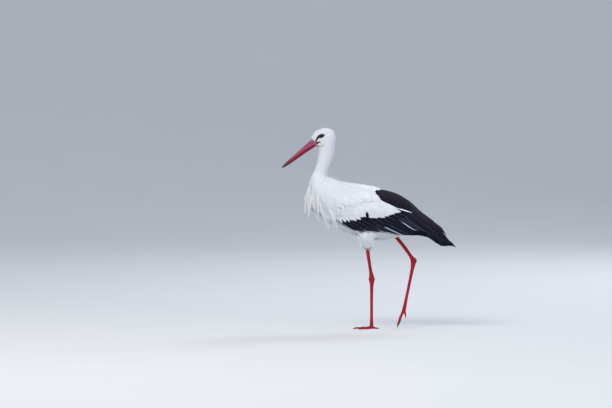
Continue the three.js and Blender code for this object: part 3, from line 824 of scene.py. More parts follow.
# Grows vanes over a field from roots on the skin, at heights over its surface from root to tip
def growVanes(field, roots, heading, length, halfWidth, shape, tipRise, rootRise, thick, lift):
    thick, lift = perFeather(len(roots), thick, lift)
    places, widths = vaneShapes[shape]
    place = roots.copy()
    way = unit(heading)
    corners = []
    for i, share in enumerate(places):
        if i:
            place = place + way * ((share - places[i - 1]) * length)[:, None]
        out = outwardAt(field, place)
        height = rootRise + (tipRise - rootRise) * share**0.4 + lift * share**3
        rise = np.clip(height - heightAt(field, place), -vane["furthest"], vane["furthest"])
        place = place + out * rise[:, None]
        way = way * (1 - vane["follow"]) + lie(place) * vane["follow"]
        way = unit(way - out * dot(way, out))
        side = unit(np.cross(out, way))
        half = halfWidth * widths[i]
        edges = []
        for sign in (1, -1):
            edge = place + side * (sign * half)[:, None]
            most = 0.7 * half + 1 * mm
            move = np.clip(height - vane["droop"] * half - heightAt(field, edge), -most, most)
            edges.append(edge + outwardAt(field, edge) * move[:, None])
        ridge = out * (thick * (1 - vane["taper"] * share) / 2)[:, None]
        corners.append(np.stack([edges[0], place + ridge, edges[1], place - ridge], 1))
    return vaneMesh(np.stack(corners, 1), halfWidth, length, shape, roots)


# Vanes along given middle lines, with a normal at each of their places
def freeVanes(lines, normals, halfWidth, shape, cup=0.0, thick=0.6 * mm):
    halfWidth, thick = perFeather(len(lines), halfWidth, thick)
    places, widths = vaneShapes[shape]
    way = unit(np.gradient(lines, axis=1))
    normals = unit(normals - way * dot(normals, way))
    side = np.cross(normals, way) * (halfWidth[:, None] * widths)[..., None]
    ridge = normals * (thick[:, None] * (1 - vane["taper"] * places) / 2)[..., None]
    sink = normals * (cup * halfWidth[:, None] * widths)[..., None]
    corners = np.stack([lines + side - sink, lines + ridge, lines - side - sink, lines - ridge], 2)
    length = np.linalg.norm(np.diff(lines, axis=1), axis=2).sum(1)
    return vaneMesh(corners, halfWidth, length, shape, lines[:, 0])


# One piece from several coats; a value that a coat lacks is 0 on it
def coatPiece(name, colour, coats):
    starts = np.cumsum([0] + [len(coat["points"]) for coat in coats])
    faces = np.vstack([coat["faces"] + start for coat, start in zip(coats, starts)])
    keys = sorted({key for coat in coats for key in coat["attributes"]})
    attributes = {key: np.concatenate([coat["attributes"].get(key, np.zeros(len(coat["points"])))
                                       for coat in coats]) for key in keys}
    piece = meshObject(name, np.vstack([coat["points"] for coat in coats]), faces, [materials[colour]],
                       attributes, np.vstack([coat["bakeMap"] for coat in coats]))
    piece.data.set_sharp_from_angle(angle=math.radians(75))
    settle(piece, colour + "_plumage")


# Only the chosen feathers of a coat
def chosen(coat, kept):
    each = len(coat["points"]) // len(kept)
    starts = np.arange(len(kept))[:, None, None] * each
    faces = (coat["faces"].reshape(len(kept), -1, 4) - starts)[kept]

    def pick(values):
        return values.reshape(len(kept), -1, *values.shape[1:])[kept].reshape(-1, *values.shape[1:])

    return {"points": pick(coat["points"]), "faces": (faces + starts[:len(faces)]).reshape(-1, 4),
            "bakeMap": pick(coat["bakeMap"]),
            "attributes": {key: pick(values) for key, values in coat["attributes"].items()}}


# Places spread evenly over a shell; the spacing may differ from place to place
def spreadOver(shell, spacingAt, seed, wanted):
    local = np.random.default_rng(seed)
    points, faces = shell
    corners = points[faces].astype(float)
    middles = corners.mean(1)
    here = wanted(middles)
    corners, middles = corners[here], middles[here]
    area = np.linalg.norm(np.cross(corners[:, 2] - corners[:, 0], corners[:, 3] - corners[:, 1]), axis=1) / 2
    weight = area / spacingAt(middles) ** 2
    tries = int(weight.sum() * 4)
    c = corners[local.choice(len(corners), tries, p=weight / weight.sum())]
    u, v = local.random((2, tries, 1))
    places = (c[:, 0] * (1 - u) + c[:, 1] * u) * (1 - v) + (c[:, 3] * (1 - u) + c[:, 2] * u) * v
    return thinned(places, spacingAt(places))


# Keeps a place only where no kept one is nearer than its spacing
def thinned(places, spacing):
    tree = KDTree(len(places))
    for index, place in enumerate(places):
        tree.insert(place, index)
    tree.balance()
    kept = np.ones(len(places), bool)
    for index, place in enumerate(places):
        if kept[index]:
            for _, other, _ in tree.find_range(place, spacing[index]):
                if other > index:
                    kept[other] = False
    return places[kept]


# Over 0 where the nearest plumage is black; in metres
def blackness(points):
    return heightAt(whiteField, points) - heightAt(blackField, points)


def inWing(points):
    return heightAt(trunkField, points) > heightAt(wingField, points)


# A place as the outlines below give it, x and z in mm
def fromSide(points):
    return (points[..., 0] - shift) / mm, points[..., 2] / mm


sideStarts = 0.05  # this far from the middle a place lies on the bird's side
# Where one white coat ends and the next starts: two heights, and a place along the body
coatEdges = {"neckFoot": 0.69, "backEdge": 0.50, "breastEnd": -0.165}
# The lower front of the folded wing, which lies over the breast feathers
wingFront = np.array([[-168, 548], [-160, 520], [-148, 495], [-129, 474], [-118, 466], [-95, 449], [-74, 437],
                      [-40, 429], [180, 420], [180, 470], [60, 548]], float)


# White feathers keep off the black part of the wings; those of the trunk stay behind the wings' lower front
def mayBeWhite(points, ofTrunk):
    x, z = fromSide(points)
    below = (z < 500) & (heightAt(wingField, points) > 2 * mm)
    allowed = (outlineDistance(whiteArea, x, z) < 0) | below | (x < -170)
    if ofTrunk:
        # those above the wing's edge end raggedly over it
        ragged = 1 + 34 * rng.random(x.shape[:1])[:, None] * ease(506, 546, z)
        allowed &= ~((outlineDistance(wingFront, x, z) < -ragged) & (np.abs(points[..., 1]) > sideStarts))
    return allowed


# The white part of back and wing seen from the side, x and z in mm
whiteArea = np.array([[84, 990], [84, 610], [60, 607], [36, 604], [40, 588], [46, 570], [65, 550],
                      [91, 535], [121, 522], [146, 519], [121, 507], [95, 499], [69, 490], [39, 483],
                      [8, 482], [-28, 485], [-53, 475], [-79, 471], [-105, 476], [-122, 481], [-134, 478],
                      [-150, 460], [-300, 440], [-300, 990]], float)


skinBlack = ease(-1 * mm, 1 * mm, blackness(skinPoints))
fromWhite = outlineDistance(whiteArea, *fromSide(skinPoints))
skinBlack = np.maximum(skinBlack, ease(0, 3, fromWhite) * (skinPoints[:, 2] > 0.50) * (skinPoints[:, 0] > 0))
sideOfHead = (np.abs(skinPoints[:, 1]) > 6 * mm) * (skinPoints[:, 2] > 0.775)
skinBare = bareShare(skinPoints, 1.3) * sideOfHead
skinMarks = {"black": skinBlack, "bare": skinBare, "pink": redShare(skinPoints)}
skin = meshObject("skin", skinPoints, skinFaces, [materials["base"], materials["leg"]], skinMarks,
                  unwrapped(skinPoints), isLeg)
settle(skin, "leg_skin", *fleshNodes, *legNodes)


# Along the spine from the bill (m): spacing, length and half width of the feathers (mm)
coatSizes = [[0.00, 1.0, 5, 0.75], [0.05, 1.3, 9, 1.0], [0.10, 1.5, 12, 1.15], [0.165, 2.0, 18, 1.4],
             [0.235, 2.8, 30, 1.9], [0.275, 3.4, 46, 2.4], [0.325, 4.0, 60, 3.0], [0.38, 5.4, 56, 5.5],
             [0.45, 7.0, 46, 8.5], [0.60, 8.0, 46, 10], [0.78, 8.5, 52, 11]]


thighSizes = [0, 4.2, 30, 3.2]


def coatSize(points, column):
    rows = np.array(coatSizes)
    size = np.interp(nearSpine(points)[0], rows[:, 0], rows[:, column]) * mm
    thigh = thighPull(points)[1]
    return size * (1 - thigh) + thighSizes[column] * mm * thigh


# How thick the feathers are, how far they lift and how far a stray one may, in mm; scale and the brown tint
# are shares, the tint being painted shade on the belly and thigh
coats = {
    "head": {"shape": "small", "thick": 0.22, "seed": 11},
    "neck": {"shape": "small", "thick": 0.3, "seed": 12},
    "breast": {"shape": "lance", "thick": 0.4, "seed": 13, "stray": 9},
    "back": {"shape": "round", "thick": 0.35, "seed": 14},
    # the belly's and thigh's brown tint is painted shade that darkens them
    "belly": {"shape": "round", "thick": 0.35, "seed": 15, "lift": 1.0, "soil": 0.12},
    "thigh": {"shape": "lance", "thick": 0.35, "seed": 16, "lift": 1.0, "soil": 0.18},
    "shoulder": {"shape": "round", "thick": 0.35, "seed": 17, "scale": 0.6},
}


# Tells which places on the skin bear a coat's feathers
def inRegion(name):
    def check(points):
        white = blackness(points) < 0
        wing = inWing(points)
        thigh = (thighPull(points)[1] > 0.5) & ~wing
        x, z = points[:, 0], points[:, 2]
        beside = (outlineDistance(wingFront, *fromSide(points)) < 22) & (np.abs(points[:, 1]) > sideStarts)
        free = white & ~wing & ~thigh & ((heightAt(wingField, points) > 3 * mm) | (x < -0.12))
        low = z <= coatEdges["backEdge"]
        high = z >= coatEdges["neckFoot"]
        behind = x >= coatEdges["breastEnd"]
        return {
            "head": z > head["seam"] + 1 * mm,
            "neck": free & high & (z < head["seam"] + 3 * mm),
            "breast": free & ~high & ~behind,
            "back": free & ~low & ~high & behind,
            "belly": free & low & behind & (heightAt(wingField, points) > 6 * mm),
            "thigh": thigh & white,
            "shoulder": white & beside & (z < 0.62) & (x < -0.09),
        }[name]
    return check


# Off the bare skin, the eyes and the root of the bill
def offFace(points):
    besideEye = np.hypot(points[:, 0] - eyeCentre[0], points[:, 2] - eyeCentre[2]) < 8.5 * mm
    along, rise = (points - billRoot) @ billWay, (points - billRoot) @ billUp
    atBill = (along > -8 * mm) & (np.abs(rise) < 24 * mm) & (outwardAt(headField, points) @ billWay > 0.8)
    return (bareShare(points) < 0.4) & ~besideEye & ~atBill & (along < 2 * mm)


def grownCoat(name):
    spec = coats[name]
    local = np.random.default_rng(spec["seed"])
    isHead = name == "head"
    field, shell = (headField, shells[1]) if isHead else (skinField, shells[0])
    roots = spreadOver(shell, lambda p: coatSize(p, 1), spec["seed"], inRegion(name))
    if isHead:
        roots = roots[offFace(roots)]
    length = coatSize(roots, 2) * (0.85 + 0.3 * local.random(len(roots)))
    heading = lie(roots)
    if isHead:
        reach = heading * length[:, None]
        kept = np.max([bareShare(roots + reach * share) for share in (0.3, 0.6, 1)], 0) < 0.6
        roots, length, heading = roots[kept], length[kept], heading[kept]
    room = np.clip(-heightAt(cover, roots), 1.5 * mm, 0.016)
    if isHead:
        room = room - head["sleekCoat"] * sleekShare(roots[:, 0], roots[:, 2])
    half = coatSize(roots, 3) * spec.get("scale", 1) * (0.9 + 0.2 * local.random(len(roots)))
    length = length * spec.get("scale", 1)
    lift = (spec.get("lift", 0) + spec.get("stray", 0) * local.random(len(roots)) ** 5) * mm
    ridge = ease(0.0, 0.04, roots[:, 0]) * (roots[:, 2] > 0.55)  # narrow where the wings close over the back
    half, length = half * (1 - 0.6 * ridge), length * (1 - 0.35 * ridge)
    wobble = local.normal(0, 0.05, (len(roots), 3))
    tipRise = room * (0.9 + 0.12 * local.random(len(roots)))
    coat = growVanes(field, roots, heading + wobble, length, half, spec["shape"], tipRise, 0.35 * room,
                     spec["thick"] * mm, lift)
    coat["attributes"]["soil"] = np.full(len(coat["points"]), spec.get("soil", 0.0))
    if isHead:
        spot = eyeCentre[[0, 2]] + np.array(head["cheekSpot"]) * mm
        apart = np.linalg.norm(coat["points"][:, [0, 2]] - spot, axis=1)
        coat["attributes"]["soil"] = 0.6 * ease(4.5 * mm, 1.5 * mm, apart)
    points = coat["points"].reshape(len(roots), -1, 3)
    fromRoot = points - billRoot
    overBill = (fromRoot @ billWay > 1 * mm) & (np.abs(fromRoot @ billUp) < 26 * mm)
    return chosen(coat, (mayBeWhite(points, name not in ("head", "shoulder")) & ~overBill).all(1))


# Long plumes of the lower neck hang free in locks: root and tip of each lock, and its depth and width (mm)
plumeLocks = [[[-254, 10, 612], [-285, 13, 560], [4, 5]], [[-253, 10, 622], [-281, 14, 503], [8, 11]],
              [[-248, 30, 598], [-263, 32, 481], [9, 10]], [[-226, 46, 570], [-218, 50, 470], [12, 9]],
              [[-202, 58, 548], [-173, 64, 436], [14, 9]], [[-176, 66, 520], [-136, 70, 441], [12, 8]]]
plumes = {"inLock": 46, "half": 2.0, "sag": 2.5, "rootAbove": 45, "uneven": 34, "out": [-0.9, 0.5, 0.1],
          "soil": 0.22}
# Loose feathers of the thigh and of the belly before it, the same way
trouserLocks = [[[-70, -34, 412], [-44, -38, 386], [7, 10]], [[-50, -40, 408], [-34, -42, 374], [7, 9]],
                [[-30, -46, 398], [-36, -46, 357], [5, 7]], [[-14, -52, 392], [-12, -49, 352], [5, 7]],
                [[6, -50, 396], [17, -48, 351], [6, 7]], [[12, -38, 392], [19, -36, 353], [5, 7]],
                [[-24, -34, 394], [-28, -34, 358], [5, 7]]]
# their brown tint is painted shade that darkens the loose thigh feathers
trousers = {"inLock": 26, "half": 2.0, "sag": 1.5, "rootAbove": 18, "uneven": 14, "out": [-0.2, -1, 0],
            "soil": 0.2}


def lockVanes(locks, kind, side):
    local = np.random.default_rng(21)
    t = vaneShapes["lance"][0][:, None]
    lines, normals = [], []
    for root, tip, size in locks:
        root, tip = (np.array(v, float) * mm * [1, side, 1] + [shift, 0, 0] for v in (root, tip))
        way = unit(tip - root)
        out = unit(np.array(kind["out"]) * [1, side, 1])
        out = unit(out - way * (out @ way))
        across = np.cross(way, out)
        for _ in range(kind["inLock"]):
            angle, reach = local.random() * 2 * math.pi, math.sqrt(local.random())
            offset = (out * math.cos(angle) * size[0] + across * math.sin(angle) * size[1]) * mm * reach
            start = root + offset - way * kind["rootAbove"] * mm * local.random()
            end = tip + offset * 0.4 - way * kind["uneven"] * mm * local.random() ** 1.5
            line = start * (1 - t) + end * t + offset * 0.5 * np.sin(math.pi * t)
            line = line + out * (kind["sag"] * mm) * np.sin(math.pi * t)
            lines.append(line)
            normals.append(np.broadcast_to(unit(out * 0.6 + unit(offset + out * 1e-6) * 0.8), line.shape))
    coat = freeVanes(np.array(lines), np.array(normals), kind["half"] * mm, "lance", cup=0.15)
    # tinted towards the tips: real soil on the breast plumes, painted shade on the thigh's loose feathers
    coat["attributes"]["soil"] = kind["soil"] * coat["attributes"]["tipShare"] * coat["attributes"]["tone"]
    return coat


for name in ("head", "neck"):
    coatPiece("coat_" + name, "white", [grownCoat(name)])
coatPiece("coat_breast", "white",
          [grownCoat("breast"), lockVanes(plumeLocks, plumes, 1), lockVanes(plumeLocks, plumes, -1)])
coatPiece("coat_body", "white",
          [grownCoat(name) for name in ("back", "belly", "thigh", "shoulder")]
          + [lockVanes(trouserLocks, trousers, 1)])


# The wing's own surface, from sections along it: x, top and bottom, and how far out the top, the side and
# the bottom are (mm)
wingRows = np.array([
    [-168, 564, 526, 56, 64, 56], [-153, 592, 497, 50, 77, 66], [-118, 614, 465, 39, 87, 74],
    [-74, 622, 436, 31, 92, 75], [-31, 620, 428, 25, 94, 73], [21, 613, 427, 16, 92, 71],
    [73, 604, 419, 2, 86, 68], [126, 587, 411, 1, 78, 61], [178, 556, 408, 1, 69, 55],
    [230, 509, 411, 1, 60, 50], [262, 486, 398, 1, 54, 46], [297, 459, 370, 1, 47, 40],
    [324, 437, 359, 1, 40, 34], [348, 398, 360, 4, 31, 27], [366, 380, 359, 8, 22, 18],
    [378, 358, 353, 10, 16, 14]], float)
fallOff = 1.3  # the face turns down slowly at the top, and faster below


def wingSection(x):
    return curveThrough(wingRows, np.interp(x, wingRows[:, 0], np.arange(len(wingRows))))[:, 1:]


# A place on the left wing's outer face, from x and the share of the way down the section
def wingFace(x, share):
    top, bottom, topOut, sideOut, bottomOut = wingSection(x.ravel()).T.reshape(5, *x.shape)
    bulge = sideOut - (topOut + bottomOut) / 2
    out = topOut + (bottomOut - topOut) * share + bulge * np.sin(math.pi * share)
    return np.stack([x * mm + shift, -out * mm, (top + (bottom - top) * share**fallOff) * mm], -1)


# The share of the way down the section at a height
def shareAt(x, z):
    top, bottom = wingSection(x.ravel())[:, :2].T.reshape(2, *x.shape)
    return np.clip((top - z) / (top - bottom), 0, 1) ** (1 / fallOff)


# Across a feather on the wing, towards its upper edge
def upAcross(way, out):
    up = unit(np.cross(way, out))
    return up * np.where(up[:, 2:3] < 0, -1, 1)


# The nearest place on the wing's face, sunk by a depth, and the face's outward direction there
def ontoWing(points, depth):
    x = np.clip((points[:, 0] - shift) / mm, wingRows[0, 0], wingRows[-1, 0] - 0.5)
    low, high = np.zeros(len(x)), np.ones(len(x))
    for _ in range(3):
        shares = low[:, None] + (high - low)[:, None] * np.linspace(0, 1, 25)
        face = wingFace(np.broadcast_to(x[:, None], shares.shape), shares)
        best = np.linalg.norm(face[..., 1:] - points[:, None, 1:], axis=2).argmin(1)
        pick = shares[np.arange(len(x)), best]
        spread = (high - low) / 24
        low, high = np.maximum(pick - spread, 0), np.minimum(pick + spread, 1)
    face = wingFace(x, pick)
    down = wingFace(x, np.minimum(pick + 0.02, 1)) - wingFace(x, np.maximum(pick - 0.02, 0))
    back = wingFace(np.minimum(x + 2, wingRows[-1, 0] - 0.1), pick) - wingFace(
        np.maximum(x - 2, wingRows[0, 0]), pick)
    out = unit(np.cross(down, back))
    out *= np.where(out[:, 1:2] > 0.2, -1, 1)
    return face - out * np.broadcast_to(depth, (len(x),))[:, None], out


# Vanes laid on the wing's face along middle lines. A tilt tucks each upper edge under the next feather, and
# pale says which feathers show a worn lower edge, from where to where.
def wingCoat(lines, depth, half, shape, attributes=None, tilt=0.45, thick=0.8, pale=()):
    count, steps = lines.shape[:2]
    places, widths = vaneShapes[shape]

    def flat(values):
        return np.ascontiguousarray(values).reshape(count * steps, -1)

    def shaped(values):
        return values.reshape(count, steps, 3)

    sunk = flat(depth)[:, 0]
    middle, out = ontoWing(flat(lines), sunk)
    way = flat(unit(np.gradient(shaped(middle), axis=1)))
    up = upAcross(way, out)
    wide = flat(half[:, None] * widths[None])
    lower = ontoWing(middle - up * wide, sunk - tilt * mm)[0]
    upper = ontoWing(middle + up * wide, sunk + tilt * mm)[0]
    ridge = out * (thick * mm * (1 - vane["taper"] * flat(np.broadcast_to(places[None], (count, steps)))) / 2)
    corners = np.stack([shaped(upper), shaped(middle + ridge), shaped(lower), shaped(middle - ridge)], 2)
    length = np.linalg.norm(np.diff(shaped(middle), axis=1), axis=2).sum(1)
    coat = vaneMesh(corners, half, length, shape, shaped(middle)[:, 0])
    if volumeOf(coat["points"], coat["faces"]) < 0:
        coat["faces"] = coat["faces"][:, ::-1]
    for key, value in (attributes or {}).items():
        coat["attributes"][key] = np.full(len(coat["points"]), float(value))
    palest = np.zeros((count, steps, 4))
    for feather, first, last in pale:
        shown = ease(first - 0.08, first + 0.05, places) * ease(last + 0.08, last - 0.05, places)
        palest[feather] = shown[:, None]
    coat["attributes"]["pale"] = palest.ravel()
    return coat


# Flight feathers. Each row: lower edge from root to tip as x and z, half width, depth under the face (mm);
# where byShare is set, z is the share of the way down the wing instead
def wingVanes(rows, shape, attributes=None, bend=0.0, byShare=False, **more):
    rows = np.array(rows, float)
    t = vaneShapes[shape][0][None]
    half = rows[:, 4:5] * mm
    x = np.clip(rows[:, 0:1] * (1 - t) + rows[:, 2:3] * t, wingRows[0, 0] + 1, wingRows[-1, 0] - 0.5)
    low = rows[:, 1:2] * (1 - t) + rows[:, 3:4] * t + bend * np.sin(math.pi * t)
    edgeLine = wingFace(x, np.clip(low, 0, 1) if byShare else shareAt(x, low))
    depth = (rows[:, 5:6] + 1.2 * (1 - t) ** 3) * mm
    way = unit(np.gradient(edgeLine, axis=1)).reshape(-1, 3)
    out = ontoWing(edgeLine.reshape(-1, 3), 0.0)[1]
    up = upAcross(way, out)
    lines = edgeLine + up.reshape(edgeLine.shape) * (half * (1 - 0.55 * t**2))[..., None]
    return wingCoat(lines, depth, half[:, 0], shape, attributes, **more)


# Small coverts by their tips: x and z, length, half width, slope down to the back in degrees
def coverts(rows, shape, tipDepth, rootDepth=3.4, **more):
    rows = np.array(rows, float)
    t = vaneShapes[shape][0][None]
    tips = wingFace(rows[:, 0], shareAt(rows[:, 0], rows[:, 1]))
    slope = np.radians(rows[:, 4])
    way = np.stack([np.cos(slope), 0 * slope, -np.sin(slope)], 1)
    out = ontoWing(tips, 0.0)[1]
    way = unit(way - out * dot(way, out))
    lines = tips[:, None] - way[:, None] * (rows[:, 2:3] * mm * (1 - t))[..., None]
    depth = (rootDepth + (tipDepth - rootDepth) * t**0.8 + 0 * rows[:, 2:3]) * mm
    return wingCoat(lines, depth, rows[:, 3] * mm, shape, tilt=0.15, thick=0.45, **more)


# Only the feathers that lie on the wing, not those beside its front edge
def onWing(coat, shape):
    each = 4 * len(vaneShapes[shape][0])
    return chosen(coat, heightAt(wingField, coat["points"]).reshape(-1, each).mean(1) < 6 * mm)


# Raised to just under the cover where the mantle bridges the hollow above the wing
def overMantle(coat):
    height = heightAt(cover, coat["points"])
    rise = np.clip(-1 * mm - height, 0, 30 * mm) * ease(-3 * mm, -6 * mm, height)
    coat["points"] = coat["points"] + outwardAt(cover, coat["points"]) * rise[:, None]
    return coat


def mirrored(coat):
    return {"points": coat["points"] * [1, -1, 1], "faces": coat["faces"][:, ::-1],
            "attributes": coat["attributes"], "bakeMap": coat["bakeMap"] * [1, -1] + [0, 1]}


# Adds each feather's depth under the face, which runs evenly over the rows
def graded(rows, first, last):
    return [row + [first + (last - first) * i / (len(rows) - 1)] for i, row in enumerate(rows)]


primaries = graded([
    [80, 405, 345, 352, 15], [95, 415, 356, 354, 15], [110, 436, 367, 353, 14], [128, 446, 379, 349, 14],
    [138, 456, 374, 358, 14], [148, 464, 363, 370, 14], [155, 472, 352, 382, 15], [160, 480, 340, 395, 15],
    [165, 486, 326, 408, 16], [168, 490, 310, 420, 17]], 3.2, 2.0)
secondaries = graded([
    [-125, 462, -40, 418, 14], [-112, 462, -10, 418, 15], [-95, 464, 20, 418, 17], [-72, 466, 48, 420, 18],
    [-48, 470, 78, 421, 19], [-25, 470, 106, 418, 20], [-5, 470, 136, 412, 21], [18, 464, 168, 405, 22],
    [38, 476, 190, 408, 22], [85, 502, 213, 427, 22], [92, 508, 236, 427, 22], [100, 514, 256, 420, 22],
    [112, 518, 272, 410, 22]], 2.9, 1.6)
greaterCoverts = graded([
    [-150, 480, -100, 440, 10], [-136, 478, -74, 438, 12], [-114, 474, -46, 438, 13],
    [-90, 474, -20, 441, 13], [-64, 474, 6, 446, 14], [-38, 480, 30, 450, 14], [-12, 484, 54, 454, 15],
    [14, 487, 78, 460, 15], [38, 492, 102, 467, 15], [60, 500, 126, 475, 15], [82, 508, 152, 484, 15],
    [100, 516, 178, 490, 14],
], 1.7, 1.2)
tertials = graded([
    [62, 0.34, 284, 0.62, 22], [60, 0.30, 300, 0.55, 24], [58, 0.25, 313, 0.42, 25],
    [60, 0.20, 306, 0.30, 25], [64, 0.14, 288, 0.20, 25], [70, 0.08, 262, 0.13, 24],
    [80, 0.03, 236, 0.07, 22]], 1.5, 0.7)
longTertials = graded([
    [110, 0.30, 330, 0.55, 20], [105, 0.16, 336, 0.34, 21], [105, 0.10, 333, 0.26, 19],
    [110, 0.05, 318, 0.15, 17]], 2.1, 1.8)
scapulars = graded([
    [20, 0.30, 138, 0.43, 13], [14, 0.25, 168, 0.40, 15], [10, 0.20, 188, 0.34, 16],
    [12, 0.15, 186, 0.26, 16], [20, 0.10, 176, 0.18, 16], [40, 0.05, 160, 0.11, 15],
    [58, 0.02, 146, 0.05, 15]], 0.8, 0.4)

# each group's attributes set how much painted grey-blue and purple-bronze sheen it shows
flight = [
    wingVanes(primaries, "primary", {"frost": 0.05, "bronze": 0.1}, bend=3),
    wingVanes(secondaries, "flight", {"frost": 0.14, "bronze": 0.0}, bend=2,
              pale=[(2, 0.70, 0.9), (4, 0.8, 0.95), (7, 0.36, 0.93), (9, 0.55, 0.93)]),
    wingVanes(greaterCoverts, "flight", {"frost": 0.1, "bronze": 0.1}),
    wingVanes(tertials, "flight", {"frost": 0.0, "bronze": 0.7}, bend=-0.03, byShare=True),
    wingVanes(longTertials, "primary", {"frost": 0.0, "bronze": 0.4}, byShare=True),
    wingVanes(scapulars, "flight", {"frost": 0.0, "bronze": 0.5}, byShare=True),
]
# one black covert of the left wing is turned up over the white ones
turnedUp = coverts([[-12, 516, 32, 6.5, -100]], "pointed", -0.3, 0.0, attributes={"bronze": 0.3})
coatPiece("flight_feathers", "black", flight + [mirrored(f) for f in flight] + [turnedUp])


# White coverts end in pointed tips over the black ones
borderTips = [[-146, 496], [-136, 490], [-126, 485], [-115, 480], [-103, 475], [-94, 476], [-85, 471],
              [-77, 476], [-69, 476], [-58, 473], [-47, 480], [-38, 480], [-29, 489], [2, 491], [14, 488],
              [27, 489], [40, 488], [54, 489], [68, 491], [82, 495], [96, 500], [110, 504], [124, 510]]
upperTips = [[34, 590], [41, 578], [48, 568], [58, 558], [69, 549], [80, 542], [92, 536], [105, 529],
             [118, 523]]


# How steeply the small feathers run down to the back, in degrees, as in wingPull
def slopeAt(x, z):
    low = ease(610, 500, z)
    return 12 + (14 + 40 * ease(100, -100, x)) * low


# A row of coverts over the border, raised by some mm
def borderRow(tips, rise, length, half, seed):
    local = np.random.default_rng(seed)
    rows = []
    for x, z in tips:
        x, z = x - rise * 0.4 + local.normal(0, 1), z + rise + local.normal(0, 1.2)
        rows.append([x, z, length * (0.9 + 0.2 * local.random()), half, slopeAt(x, z) + local.normal(0, 4)])
    return rows


def lesserCoverts():
    local = np.random.default_rng(35)
    rows = []
    for k, share in enumerate(np.arange(0.02, 0.86, 0.05)):
        for x in np.arange(-162 + 5.5 * (k % 2), 120, 11):
            x, down = x + local.normal(0, 1.3), max(share + local.normal(0, 0.006), 0.01)
            z = float(wingFace(np.array([x]), np.array([down]))[0, 2]) / mm
            if outlineDistance(whiteArea, x, z) < -5:
                far = ease(-150, 60, x)
                rows.append([x, z, 24 + 12 * far, 7.5 + 2.5 * far, slopeAt(x, z) + local.normal(0, 4)])
    return rows


whiteStreaks = [[188, 508, 88, 3.4, 6], [84, 601, 42, 2.2, -9], [137, 513, 40, 6.5, 12]]
whiteCoverts = [overMantle(onWing(coverts(rows, shape, *depths), shape)) for rows, shape, *depths in [
    (lesserCoverts(), "round", 0.3),
    (borderRow(upperTips, 0, 36, 9, 34), "round", 0.3),
    (borderRow(borderTips, 20, 38, 9.5, 33), "round", 0.4),
    (borderRow(borderTips, 10, 42, 9.5, 32), "round", 0.55),
    (borderRow(borderTips, 0, 46, 8.5, 31), "pointed", 0.7),
    (whiteStreaks, "pointed", 0.1, 1.0)]]
coatPiece("coat_coverts", "white", whiteCoverts + [mirrored(f) for f in whiteCoverts])

tail = {"feathers": 12, "halfWidth": 9 * mm, "root": [215, 7, 444], "tip": [341, 21, 378]}


# Twelve white feathers in a shallow fan, under the folded wings
def tailVanes():
    places = vaneShapes["flight"][0][:, None]
    lines, normals = [], []
    for i, spot in enumerate(np.linspace(-1, 1, tail["feathers"])):
        root = np.array(tail["root"]) * [1, spot, 1] + [2 * i % 3, 0, -2 * abs(spot)]
        tip = np.array(tail["tip"]) * [1, spot, 1] - [5 * spot * spot, 0, 3 * abs(spot)]
        line = (root * (1 - places) + tip * places) * mm + [shift, 0, 0]
        line[:, 2] += (4 - 6 * abs(spot)) * mm * places[:, 0]
        lines.append(line)
        normals.append(np.broadcast_to(unit(np.array([0.5, 0.35 * spot, 1.0])), line.shape))
    return freeVanes(np.array(lines), np.array(normals), tail["halfWidth"], "flight")


coatPiece("tail_feathers", "white", [tailVanes()])

bill = {
    "length": 168.6,
    "depth": 33,
    "width": 23,
    "centre": 8.4,
    "into": 12,  # how far it reaches back into the head
    "steps": 90,
    "count": 40,
    "gap": 0.25,  # half the gap between the cutting edges
    "keel": 0.8,
    "nostril": [14, 0.72],  # along the bill, and the share of the way up
    "tip": 6,  # length of the rounded tip
}
# Height of the cutting edges along the bill
gapeRows = [[-30, -3], [0, -0.5], [19, 3.4], [44, 6.2], [81, 6.4], [110, 6.7], [140, 7.8], [168.6, 8.4]]
# Depth of the bill as a share of its root, at shares of its length
taperRows = [[-0.2, 1.1], [0, 1], [0.25, 0.81], [0.5, 0.66], [0.7, 0.55], [0.84, 0.43], [0.94, 0.27],
             [1, 0.11]]


def atRows(rows, at):
    rows = np.array(rows, float)
    return curveThrough(rows, np.interp(at, rows[:, 0], np.arange(len(rows))))[:, 1]


